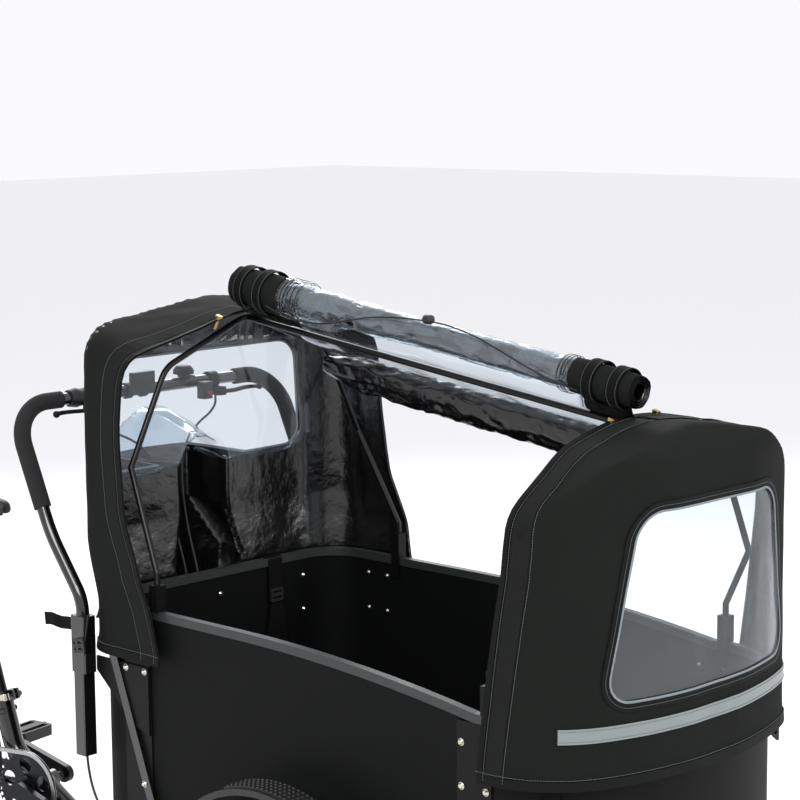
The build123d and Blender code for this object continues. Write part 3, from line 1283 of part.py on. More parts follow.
with BuildPart() as rear_axle:
    rear_rod((REAR_AXLE_U, -84, REAR_WHEEL), (REAR_AXLE_U, 84, REAR_WHEEL), REAR_AXLE)
    for side in (-1, 1):
        nut = DROPOUT_V + DROPOUT / 2 + 0.1
        with BuildSketch(Plane(origin=REAR.from_local_coords((REAR_AXLE_U, side * nut, REAR_WHEEL)), x_dir=(0, 0, 1), z_dir=REAR.y_dir * side)):
            RegularPolygon(10, 6)
        extrude(amount=8)
save(rear_axle, "rear_axle")

REAR_GUARD_FROM = 34.0
REAR_GUARD_SWEEP = 152.0
REAR_GUARD_GAP = 18.0
with BuildPart() as rear_mudguard:
    start = radians(REAR_GUARD_FROM)
    inner = REAR_WHEEL + REAR_GUARD_GAP
    out = REAR.x_dir * cos(start) + Vector(0, 0, 1) * sin(start)
    along = REAR.x_dir * sin(start) - Vector(0, 0, 1) * cos(start)
    centre = REAR_WHEEL_PLANE.origin
    revolve(
        guard_section(Plane(origin=centre, x_dir=out, z_dir=along), inner, MUDGUARD_HALF),
        axis=Axis(centre, -REAR.y_dir),
        revolution_arc=REAR_GUARD_SWEEP,
    )
    for side in (-1, 1):
        for angle in (100.0, 152.0):
            turn = radians(angle)
            reach = inner - 4
            foot = (REAR_AXLE_U - 14, side * (DROPOUT_V - DROPOUT / 2 - 2.5), REAR_WHEEL + 24)
            tip = (REAR_AXLE_U + reach * cos(turn), side * (MUDGUARD_HALF + 1), REAR_WHEEL + reach * sin(turn))
            rear_rod(foot, tip, 5)
    bridge = radians(REAR_GUARD_FROM + 6)
    bridge_foot = (REAR_AXLE_U + (inner + 1) * cos(bridge), 0, REAR_WHEEL + (inner + 1) * sin(bridge))
    rear_rod(seat_point(-CLAMP_TALL - 18, 0, HEAD_TUBE / 2 + 5), bridge_foot, 8)
save(rear_mudguard, "rear_mudguard")

# ------------------------------------------------------------------ drive: sprocket, chain, crankset and pedals
TOOTH_RISE = 4.0
TOOTH_SEAT = 8.5
TOOTH_HALF = 1.2
CRANK_TURN = -18.0
RIGHT_ARM_V = -66.0
LEFT_ARM_V = -RIGHT_ARM_V
ARM_THICK = 14.0
SPINDLE = 14.0


def pitch_radius(teeth):
    return CHAIN_PITCH / 2 / sin(pi / teeth)


def toothed(v, teeth):
    """Toothed disc outline on the side plane, about its own centre."""
    with BuildSketch(mode=Mode.PRIVATE) as disc:
        Circle(pitch_radius(teeth) + TOOTH_RISE)
        with PolarLocations(pitch_radius(teeth), teeth):
            Circle(TOOTH_SEAT / 2, mode=Mode.SUBTRACT)
    return disc.sketch


def side_disc(u, z, v):
    """Plane across the frame at a place, looking out to the left."""
    return Plane(origin=REAR.from_local_coords((u, v, z)), x_dir=REAR.x_dir, z_dir=REAR.y_dir)


with BuildPart() as rear_sprocket:
    place = side_disc(REAR_AXLE_U, REAR_WHEEL, CHAIN_LINE - TOOTH_HALF)
    extrude(place.from_local_coords(toothed(0, SPROCKET_TEETH)), amount=2 * TOOTH_HALF, dir=REAR.y_dir)
    rear_rod((REAR_AXLE_U, REAR_HUB_LOW - GAP, REAR_WHEEL), (REAR_AXLE_U, -52, REAR_WHEEL), 44)
    rear_rod((REAR_AXLE_U, -52, REAR_WHEEL), (REAR_AXLE_U, -DROPOUT_V + DROPOUT / 2 + GAP, REAR_WHEEL), 28)
    rear_rod((REAR_AXLE_U, -80, REAR_WHEEL), (REAR_AXLE_U, 0, REAR_WHEEL), REAR_AXLE + 2 * RUN_CLEAR, mode=Mode.SUBTRACT)
save(rear_sprocket, "rear_sprocket")

ring_radius = pitch_radius(CHAINRING_TEETH)
cog_radius = pitch_radius(SPROCKET_TEETH)
SIDE_PLATE = 1.2
SIDE_PLATE_IN = 2.0
PLATE_HALF = 4.2
ROLLER = 7.7


def chain_band(grow):
    """Outline round both toothed discs, at a distance from the chain's pitch line."""
    return make_hull(
        Edge.make_circle(ring_radius + grow, Plane(origin=(BRACKET_U, BRACKET_Z, 0))).edges()
        + Edge.make_circle(cog_radius + grow, Plane(origin=(REAR_AXLE_U, REAR_WHEEL, 0))).edges()
    )


run_vector = Vector(BRACKET_U - REAR_AXLE_U, BRACKET_Z - REAR_WHEEL, 0)
tilt = degrees(asin((ring_radius - cog_radius) / run_vector.length))
slope = degrees(atan2(run_vector.Y, run_vector.X))
straight = sqrt(run_vector.length**2 - (ring_radius - cog_radius) ** 2)
with BuildPart() as chain:
    for out in (-1, 1):
        edge_v = CHAIN_LINE + out * (SIDE_PLATE_IN + SIDE_PLATE / 2) - SIDE_PLATE / 2
        with BuildSketch(mode=Mode.PRIVATE) as band:
            add(chain_band(PLATE_HALF))
            add(chain_band(-PLATE_HALF), mode=Mode.SUBTRACT)
        place = Plane(origin=REAR.from_local_coords((0, edge_v, 0)), x_dir=REAR.x_dir, z_dir=-REAR.y_dir)
        extrude(place.from_local_coords(band.sketch), amount=SIDE_PLATE, dir=REAR.y_dir)
    links = int(straight / CHAIN_PITCH) - 5
    for sense in (-1, 1):
        lean = radians(slope + sense * (90 + tilt))
        start = Vector(REAR_AXLE_U + cog_radius * cos(lean), REAR_WHEEL + cog_radius * sin(lean), 0)
        end = Vector(BRACKET_U + ring_radius * cos(lean), BRACKET_Z + ring_radius * sin(lean), 0)
        for link in range(links):
            at = start + (end - start) * ((link + 3) / (links + 5))
            rear_rod((at.X, CHAIN_LINE - SIDE_PLATE_IN, at.Y), (at.X, CHAIN_LINE + SIDE_PLATE_IN, at.Y), ROLLER)
save(chain, "chain")

crank_turn = radians(CRANK_TURN)
arm_tip = {
    -1: (BRACKET_U + CRANK * cos(crank_turn), BRACKET_Z + CRANK * sin(crank_turn)),
    1: (BRACKET_U - CRANK * cos(crank_turn), BRACKET_Z - CRANK * sin(crank_turn)),
}
SPINDLE_LONG = 104.0
with BuildPart() as crankset:
    extrude(
        side_disc(BRACKET_U, BRACKET_Z, CHAIN_LINE - TOOTH_HALF).from_local_coords(toothed(0, CHAINRING_TEETH)),
        amount=2 * TOOTH_HALF,
        dir=REAR.y_dir,
    )
    rear_rod((BRACKET_U, CHAIN_LINE - 9, BRACKET_Z), (BRACKET_U, CHAIN_LINE + 9, BRACKET_Z), 56)
    for window in range(5):
        turn = radians(72 * window + 20)
        hole = (BRACKET_U + 50 * cos(turn), BRACKET_Z + 50 * sin(turn))
        rear_rod((hole[0], CHAIN_LINE - 20, hole[1]), (hole[0], CHAIN_LINE + 20, hole[1]), 34, mode=Mode.SUBTRACT)
    rear_rod((BRACKET_U, RIGHT_ARM_V, BRACKET_Z), (BRACKET_U, LEFT_ARM_V, BRACKET_Z), CRANK_AXLE)
    for side, arm_v in ((-1, RIGHT_ARM_V), (1, LEFT_ARM_V)):
        tip = arm_tip[side]
        with BuildSketch(Plane(origin=REAR.from_local_coords((0, arm_v, 0)), x_dir=REAR.x_dir, z_dir=-REAR.y_dir), mode=Mode.PRIVATE) as arm:
            make_hull(
                Edge.make_circle(19, Plane(origin=(BRACKET_U, BRACKET_Z, 0))).edges()
                + Edge.make_circle(13, Plane(origin=(tip[0], tip[1], 0))).edges()
            )
        extrude(arm.sketch, amount=ARM_THICK, dir=REAR.y_dir * side)
        rear_rod((tip[0], arm_v + side * ARM_THICK, tip[1]), (tip[0], arm_v + side * (ARM_THICK + SPINDLE_LONG), tip[1]), SPINDLE)
        end_v = arm_v + side * (ARM_THICK + SPINDLE_LONG)
        rear_rod((tip[0], end_v, tip[1]), (tip[0], end_v + side * 4, tip[1]), SPINDLE + 8)
save(crankset, "crankset")

PEDAL_WIDE = 96.0
PEDAL_DEEP = 64.0
PEDAL_TALL = 24.0
for side, side_name in ((-1, "right"), (1, "left")):
    arm_v = RIGHT_ARM_V if side < 0 else LEFT_ARM_V
    inner_v = arm_v + side * (ARM_THICK + 4)
    middle_v = inner_v + side * PEDAL_WIDE / 2
    tip = arm_tip[side]
    with BuildPart() as pedal:
        with BuildSketch(rear_flat(tip[1] - PEDAL_TALL / 2)) as platform:
            with Locations((tip[0], middle_v)):
                RectangleRounded(PEDAL_DEEP, PEDAL_WIDE, 8)
                for across in (-1, 1):
                    with Locations((across * 19, 0)):
                        RectangleRounded(15, PEDAL_WIDE - 20, 4, mode=Mode.SUBTRACT)
        extrude(platform.sketch, amount=PEDAL_TALL)
        rear_rod((tip[0], inner_v - side * 20, tip[1]), (tip[0], inner_v + side * 140, tip[1]), SPINDLE + 2 * RUN_CLEAR, mode=Mode.SUBTRACT)
    save(pedal, f"pedal_{side_name}")

# ------------------------------------------------------------------ saddle, its post and the quick lever
POST_IN = 95.0
RAIL = 7.0
RAIL_V = 22.0
SADDLE_LONG = 270.0
rail_z = SADDLE_Z - 2
post_head_along = (rail_z - 22 - SEAT_TUBE_TOP_Z) / seat_along.Z
head = seat_point(post_head_along)
with BuildPart() as seat_post:
    rear_rod(seat_point(-POST_IN), head, SEAT_POST)
    rear_rod((head.X, -RAIL_V - 9, rail_z - 8), (head.X, RAIL_V + 9, rail_z - 8), 30)
    for v in (-RAIL_V, RAIL_V):
        rail = [(head.X - 88, v * 1.7, rail_z + 17), (head.X - 44, v, rail_z), (head.X + 52, v, rail_z), (head.X + 112, v * 0.45, rail_z + 17)]
        tube(rail, [25, 25], RAIL, plane=REAR)
save(seat_post, "seat_post")

SADDLE_LOW = rail_z + 17
SADDLE_SHAPE = (
    (-122, 50, 20, 34), (-112, 70, 26, 44), (-80, 79, 30, 48), (-35, 66, 30, 43), (15, 38, 28, 37),
    (70, 23, 26, 34), (115, 20, 25, 33), (138, 18, 22, 29), (146, 12, 14, 22),
)
with BuildPart() as saddle:
    for ahead, half, side_tall, crown in SADDLE_SHAPE:
        with BuildSketch(Plane(origin=REAR.from_local_coords((head.X + ahead, 0, SADDLE_LOW)), x_dir=REAR.y_dir, z_dir=REAR.x_dir)):
            with BuildLine() as edge:
                Line((-half, 4), (half, 4))
                Spline((half, 4), (half * 0.93, side_tall), (half * 0.5, crown * 0.97), (0, crown), (-half * 0.5, crown * 0.97), (-half * 0.93, side_tall), (-half, 4))
            make_face(edge.edges())
    loft(ruled=True)
save(saddle, "saddle")

QUICK_LONG = 56.0
QUICK_V = -25.0
with BuildPart() as quick_lever:
    cam = clamp_pin + Vector(0, QUICK_V, 0)
    rear_rod(cam - seat_along * 7, cam + seat_along * 7, 15)
    with BuildSketch(rear_side(QUICK_V - 4)) as arm:
        with Locations(Location((clamp_pin.X - QUICK_LONG / 2 + 6, clamp_pin.Z - 3), SEAT_LEAN - 6)):
            SlotOverall(QUICK_LONG, 13)
    extrude(arm.sketch, amount=6)
save(quick_lever, "quick_lever")
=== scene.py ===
# %% [markdown]
# # Box cargo bicycle with a rain tent
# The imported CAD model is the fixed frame. This lesson dresses it: every hard piece gets a
# procedural finish, and everything that is sewn, rolled, padded or laced is modelled again
# as the soft thing it is.

import bpy
import json
import math
import random
from mathutils import Matrix, Vector, noise
from mathutils.bvhtree import BVHTree


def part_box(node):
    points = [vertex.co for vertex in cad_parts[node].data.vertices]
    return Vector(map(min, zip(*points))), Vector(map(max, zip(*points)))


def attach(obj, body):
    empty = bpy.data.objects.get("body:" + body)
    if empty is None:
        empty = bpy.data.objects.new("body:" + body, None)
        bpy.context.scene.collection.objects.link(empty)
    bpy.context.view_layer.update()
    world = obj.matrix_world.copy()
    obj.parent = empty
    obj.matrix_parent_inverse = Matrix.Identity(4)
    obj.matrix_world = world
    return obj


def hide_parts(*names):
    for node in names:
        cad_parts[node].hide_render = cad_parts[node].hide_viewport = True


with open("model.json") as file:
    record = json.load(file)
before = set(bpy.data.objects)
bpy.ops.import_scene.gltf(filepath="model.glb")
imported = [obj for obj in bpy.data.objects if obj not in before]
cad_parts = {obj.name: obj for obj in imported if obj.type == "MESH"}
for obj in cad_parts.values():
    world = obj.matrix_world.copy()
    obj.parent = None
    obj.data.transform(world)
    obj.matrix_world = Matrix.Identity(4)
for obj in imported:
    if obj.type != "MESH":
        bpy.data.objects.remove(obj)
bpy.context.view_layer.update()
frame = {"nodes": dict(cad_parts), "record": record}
MM = 0.001
BOX_X = 129.9 * MM       # rear edge of the visible side panel, the tent's own datum
random.seed(7)

# %% [markdown]
# ## Colours and node trees
# Colours are written as sRGB hex and converted once. A material could also be built by hand
# in the shader editor; building it from small functions keeps forty finishes consistent.


# %% Material helpers
def srgb(code):
    """Linear colour from an sRGB hex string."""
    parts = [int(code[i : i + 2], 16) / 255 for i in (0, 2, 4)]
    return tuple(c / 12.92 if c <= 0.04045 else ((c + 0.055) / 1.055) ** 2.4 for c in parts) + (1.0,)


def add_node(tree, kind, links=(), **values):
    """Adds a shader or geometry node, sets its inputs and properties, and links sockets into it."""
    made = tree.nodes.new(kind)
    for name, value in values.items():
        if name in made.inputs:
            made.inputs[name].default_value = value
        else:
            setattr(made, name, value)
    for source, target in links:
        tree.links.new(source, made.inputs[target])
    return made


def principled(
    name, color, rough, metal=0.0, bump=None, vary=0.0, vary_size=0.2, coat=0.0, rough_vary=0.0, level=0.5
):
    """Finish with an optional bump (kind, size in metres, height in metres) and soft unevenness."""
    made = bpy.data.materials.new(name)
    made.use_nodes = True
    tree = made.node_tree
    shader = tree.nodes["Principled BSDF"]
    shader.inputs["Base Color"].default_value = srgb(color)
    shader.inputs["Roughness"].default_value = rough
    shader.inputs["Metallic"].default_value = metal
    shader.inputs["Coat Weight"].default_value = coat
    shader.inputs["IOR"].default_value = 1.5
    shader.inputs["Specular IOR Level"].default_value = level
    where = add_node(tree, "ShaderNodeTexCoord").outputs["Object"]
    if vary or rough_vary:
        cloud = add_node(tree, "ShaderNodeTexNoise", [(where, "Vector")], Scale=1 / vary_size, Detail=4.0)
        if vary:
            shift = add_node(tree, "ShaderNodeMapRange", [(cloud.outputs["Fac"], "Value")])
            shift.inputs["To Min"].default_value = 1 - vary
            shift.inputs["To Max"].default_value = 1 + vary
            tint = add_node(
                tree, "ShaderNodeHueSaturation", [(shift.outputs["Result"], "Value")], Color=srgb(color)
            )
            tree.links.new(tint.outputs["Color"], shader.inputs["Base Color"])
        if rough_vary:
            spread = add_node(tree, "ShaderNodeMapRange", [(cloud.outputs["Fac"], "Value")])
            spread.inputs["To Min"].default_value = rough - rough_vary
            spread.inputs["To Max"].default_value = rough + rough_vary
            tree.links.new(spread.outputs["Result"], shader.inputs["Roughness"])
    if bump:
        kind, size, height = bump
        if kind == "weave":
            waves = []
            for direction in ("X", "Y", "Z"):
                waves.append(
                    add_node(
                        tree, "ShaderNodeTexWave", [(where, "Vector")], Scale=0.314 / size, Distortion=0.4, bands_direction=direction
                    ).outputs["Fac"]
                )
            first = add_node(tree, "ShaderNodeMath", [(waves[0], 0), (waves[1], 1)], operation="MULTIPLY")
            relief = add_node(tree, "ShaderNodeMath", [(first.outputs[0], 0), (waves[2], 1)], operation="ADD").outputs[
                0
            ]
        else:
            relief = add_node(tree, "ShaderNodeTexNoise", [(where, "Vector")], Scale=1 / size, Detail=6.0).outputs[
                "Fac"
            ]
        raised = add_node(tree, "ShaderNodeBump", [(relief, "Height")], Distance=height, Strength=1.0)
        tree.links.new(raised.outputs["Normal"], shader.inputs["Normal"])
    return made


def clear_film(name, haze, ripple_height=0.0008, tint="F4F8FB"):
    """Thin clear film: it lets light straight through and mirrors it at glancing angles."""
    made = bpy.data.materials.new(name)
    made.use_nodes = True
    tree = made.node_tree
    tree.nodes.clear()
    where = add_node(tree, "ShaderNodeTexCoord").outputs["Object"]
    ripple = add_node(tree, "ShaderNodeTexNoise", [(where, "Vector")], Scale=14.0, Detail=2.0)
    raised = add_node(
        tree, "ShaderNodeBump", [(ripple.outputs["Fac"], "Height")], Distance=ripple_height, Strength=0.5
    )
    through = add_node(tree, "ShaderNodeBsdfTransparent", Color=srgb(tint))
    mirror = add_node(tree, "ShaderNodeBsdfGlossy", [(raised.outputs["Normal"], "Normal")], Roughness=0.06)
    milk = add_node(tree, "ShaderNodeBsdfDiffuse", Color=srgb("DDE3E8"))
    slant = add_node(tree, "ShaderNodeLayerWeight", [(raised.outputs["Normal"], "Normal")], Blend=0.5)
    steep = add_node(tree, "ShaderNodeMath", [(slant.outputs["Facing"], 0)])
    steep.operation = "POWER"
    steep.inputs[1].default_value = 5.0
    facing = add_node(tree, "ShaderNodeMapRange", [(steep.outputs[0], "Value")])
    facing.inputs["To Min"].default_value = 0.04
    facing.inputs["To Max"].default_value = 0.9
    shine = add_node(
        tree, "ShaderNodeMixShader", [(facing.outputs[0], 0), (through.outputs[0], 1), (mirror.outputs[0], 2)]
    )
    hazy = add_node(tree, "ShaderNodeMixShader", [(shine.outputs[0], 1), (milk.outputs[0], 2)], Fac=haze)
    add_node(tree, "ShaderNodeOutputMaterial", [(hazy.outputs[0], "Surface")])
    return made


# %% [markdown]
# ## The finishes
# The box is resin-faced board, nearly black and almost matte. The hoods are a coarse woven
# cloth outside and a glossy black coating inside, so they need two materials each.

# %% Finishes
MAT = {
    "panel_board": principled(
        "resin_faced_board_matte", "0B0C0C", 0.55, level=0.08, bump=("noise", 0.0012, 0.00006), vary=0.06
    ),
    "bench_board": principled("bench_board_matte", "101010", 0.6, level=0.1, vary=0.08),
    "grey_trim": principled(
        "aluminium_trim_satin_grey", "2C2F2F", 0.45, metal=0.2, rough_vary=0.05, vary_size=0.05
    ),
    "black_metal": principled(
        "steel_powder_coat_satin_black", "0B0B0C", 0.45, level=0.15, bump=("noise", 0.0008, 0.00004)
    ),
    "gloss_black_metal": principled("steel_enamel_gloss_black", "0C0C0D", 0.16, coat=0.6, rough_vary=0.03),
    "stainless": principled(
        "stainless_steel_polished", "C9C2B4", 0.22, metal=1.0, rough_vary=0.06, vary_size=0.01
    ),
    "zinc_steel": principled("steel_zinc_plated", "A9AAA8", 0.38, metal=1.0, vary=0.06, vary_size=0.02),
    "foam": principled(
        "foam_rubber_grip_matte", "131313", 0.92, bump=("noise", 0.0009, 0.0004), vary=0.1, vary_size=0.01
    ),
    "tent_cloth": principled(
        "tent_cloth_woven_charcoal", "161816", 0.8, level=0.08, bump=("weave", 0.0016, 0.0002), vary=0.12,
        vary_size=0.12
    ),
    "tent_inside": principled(
        "tent_cloth_coated_inside_black", "0B0B0C", 0.2, bump=("noise", 0.035, 0.004), coat=0.3
    ),
    "binding": principled("edge_binding_black", "0B0C0B", 0.65, level=0.12, bump=("weave", 0.001, 0.0001)),
    "velcro": principled(
        "hook_strip_black", "111211", 0.9, level=0.2, bump=("noise", 0.0016, 0.0005), vary=0.3,
        vary_size=0.003
    ),
    "window_tape": principled("window_tape_pale_blue", "6E777B", 0.5, vary=0.12, vary_size=0.03),
    "reflective": principled(
        "reflective_tape_grey_blue", "7A807F", 0.32, metal=0.3, vary=0.08, vary_size=0.05
    ),
    "thread": principled("stitching_thread_grey", "5C6566", 0.8),
    "webbing": principled(
        "polyester_webbing_black", "0A0A0A", 0.75, level=0.1, bump=("weave", 0.0012, 0.00025)
    ),
    "black_plastic": principled("moulded_plastic_black", "151515", 0.5, bump=("noise", 0.001, 0.00005)),
    "red_plastic": principled("moulded_plastic_red", "A8121B", 0.25, coat=0.3),
    "tyre": principled("tyre_rubber", "191919", 0.85, bump=("noise", 0.003, 0.0003), vary=0.08),
    "rim": principled("rim_anodised_black", "17181A", 0.35, metal=0.8),
    "hub": principled("hub_alloy_satin", "8E9092", 0.35, metal=1.0),
    "saddle_cover": principled("saddle_leatherette", "141414", 0.55, bump=("noise", 0.0025, 0.0002)),
    "pole": principled("pole_anodised_satin_black", "202022", 0.3, metal=0.7),
    "cable": principled("cable_sheath_black", "101010", 0.45),
    "elastic": principled("elastic_braid_black", "101010", 0.75, bump=("weave", 0.0007, 0.00015)),
    "crank_alloy": principled("crank_alloy_black", "2A2B2D", 0.35, metal=0.9),
    "brass": principled("zip_brass", "B59A62", 0.3, metal=1.0),
    "film": clear_film("window_film_clear", 0.015),
    "roll_film": clear_film("rolled_film_clear", 0.03, 0.002),
}
print("materials", len(MAT))

# %% [markdown]
# ## Carried-over pieces
# Hard pieces keep their CAD mesh, so they need only a finish. Soft ones are hidden later by
# the pieces that replace them.

# %% Dress the hard pieces
SOFT_NODES = {
    "rear_hood", "front_hood", "hood_windows", "door_roll_right", "door_roll_left",
    "tent_straps", "roll_elastic", "seat_belts", "saddle",
}
slots = {entry["node"]: entry["material_slot"] for entry in frame["record"]["subparts"]}
for name, piece in frame["nodes"].items():
    finish = MAT.get(slots[name], MAT["black_plastic"])
    if name in ("hood_windows",):
        finish = MAT["film"]
    piece.data.materials.clear()
    piece.data.materials.append(finish)
print("dressed", len(frame["nodes"]) - len(SOFT_NODES), "hard pieces")


# %% [markdown]
# ## Small mesh tools
# A soft piece here is a grid of points with a thickness. The same grid then carries its
# bindings, strips and stitches, so that they lie exactly on the cloth.


def make_piece(name, verts, faces, mats, body="cargo_box", smooth=True):
    """Mesh object at the origin that rides on a body."""
    mesh = bpy.data.meshes.new(name)
    mesh.from_pydata([tuple(v) for v in verts], [], faces)
    mesh.validate()
    mesh.update()
    made = bpy.data.objects.new(name, mesh)
    bpy.context.scene.collection.objects.link(made)
    for finish in mats:
        mesh.materials.append(finish)
    if smooth:
        mesh.shade_smooth()
    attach(made, body)
    return made


def thicken(points, faces, normals, thickness):
    """Closed sheet: outer faces, inner faces and a rim; returns verts, faces and a slot per face."""
    count = len(points)
    verts = list(points) + [p - n * thickness for p, n in zip(points, normals)]
    edges = {}
    for face in faces:
        for a, b in zip(face, face[1:] + face[:1]):
            edges[(a, b)] = edges.get((a, b), 0) + 1
    rim = [(b, a, a + count, b + count) for a, b in edges if (b, a) not in edges]
    inner = [tuple(i + count for i in reversed(face)) for face in faces]
    slots_of = [0] * len(faces) + [1] * len(inner) + [0] * len(rim)
    return verts, list(faces) + inner + rim, slots_of


def grid_faces(columns, rows, closed=False):
    faces = []
    for c in range(columns if closed else columns - 1):
        for r in range(rows - 1):
            a, b = c * rows + r, ((c + 1) % columns) * rows + r
            faces.append((a, b, b + 1, a + 1))
    return faces


def vertex_normals(points, faces):
    normals = [Vector() for _ in points]
    for face in faces:
        a, b, c, d = (points[i] for i in face[:4])
        normal = (c - a).cross(d - b)
        for i in face:
            normals[i] += normal
    return [n.normalized() if n.length else Vector((0, 0, 1)) for n in normals]


def ribbon(name, path, across, width, thick, mat, body="cargo_box"):
    """Flat band along a path; across gives the direction of its width at each point."""
    verts, faces = [], []
    for i, p in enumerate(path):
        ahead = (path[min(i + 1, len(path) - 1)] - path[max(i - 1, 0)]).normalized()
        wide = across[i] if isinstance(across, list) else across
        wide = (wide - ahead * wide.dot(ahead)).normalized()
        up = ahead.cross(wide).normalized()
        for sx, sz in ((-1, -1), (1, -1), (1, 1), (-1, 1)):
            verts.append(p + wide * sx * width / 2 + up * sz * thick / 2)
    for i in range(len(path) - 1):
        for s in range(4):
            a, b = i * 4 + s, i * 4 + (s + 1) % 4
            faces.append((a, b, b + 4, a + 4))
    last = (len(path) - 1) * 4
    faces += [(3, 2, 1, 0), (last, last + 1, last + 2, last + 3)]
    return make_piece(name, verts, faces, [mat], body, smooth=False)


# %% [markdown]
# ## Tent hoods
# Each hood is one continuous sheet. Rays shot inwards at the CAD hood find its surface:
# level rays up the walls, then rays that swing over the shoulder to the ridge. Cloth
# simulation would also work, but the hood is held in shape by poles, so sagging it by a
# few millimetres of noise gives the same look and never drifts off the frame.

# %% Hood surface
WALL_TOP = 1.0           # above this the rays swing over the shoulder
REAR_ZIP = ((0.69, 0.068), (0.87, 0.018), (0.96, -0.022), (1.11, -0.041), (1.21, -0.041), (1.345, -0.037))
FRONT_ZIP = (
    (0.64, 0.848), (0.81, 0.871), (1.0, 0.898), (1.08, 0.903), (1.144, 0.903), (1.187, 0.893), (1.215, 0.878)
)


def along_profile(profile, height):
    """Place along X of the zip edge at a height."""
    for (z0, x0), (z1, x1) in zip(profile, profile[1:]):
        if height <= z1:
            return BOX_X + x0 + (x1 - x0) * max(0.0, (height - z0) / (z1 - z0))
    return BOX_X + profile[-1][1]


def surface_of(*nodes):
    """Ray-cast tree over one or more CAD nodes."""
    verts, faces = [], []
    for name in nodes:
        mesh = frame["nodes"][name].data
        start = len(verts)
        verts += [v.co.copy() for v in mesh.vertices]
        faces += [tuple(start + i for i in p.vertices) for p in mesh.polygons]
    return BVHTree.FromPolygons(verts, faces)


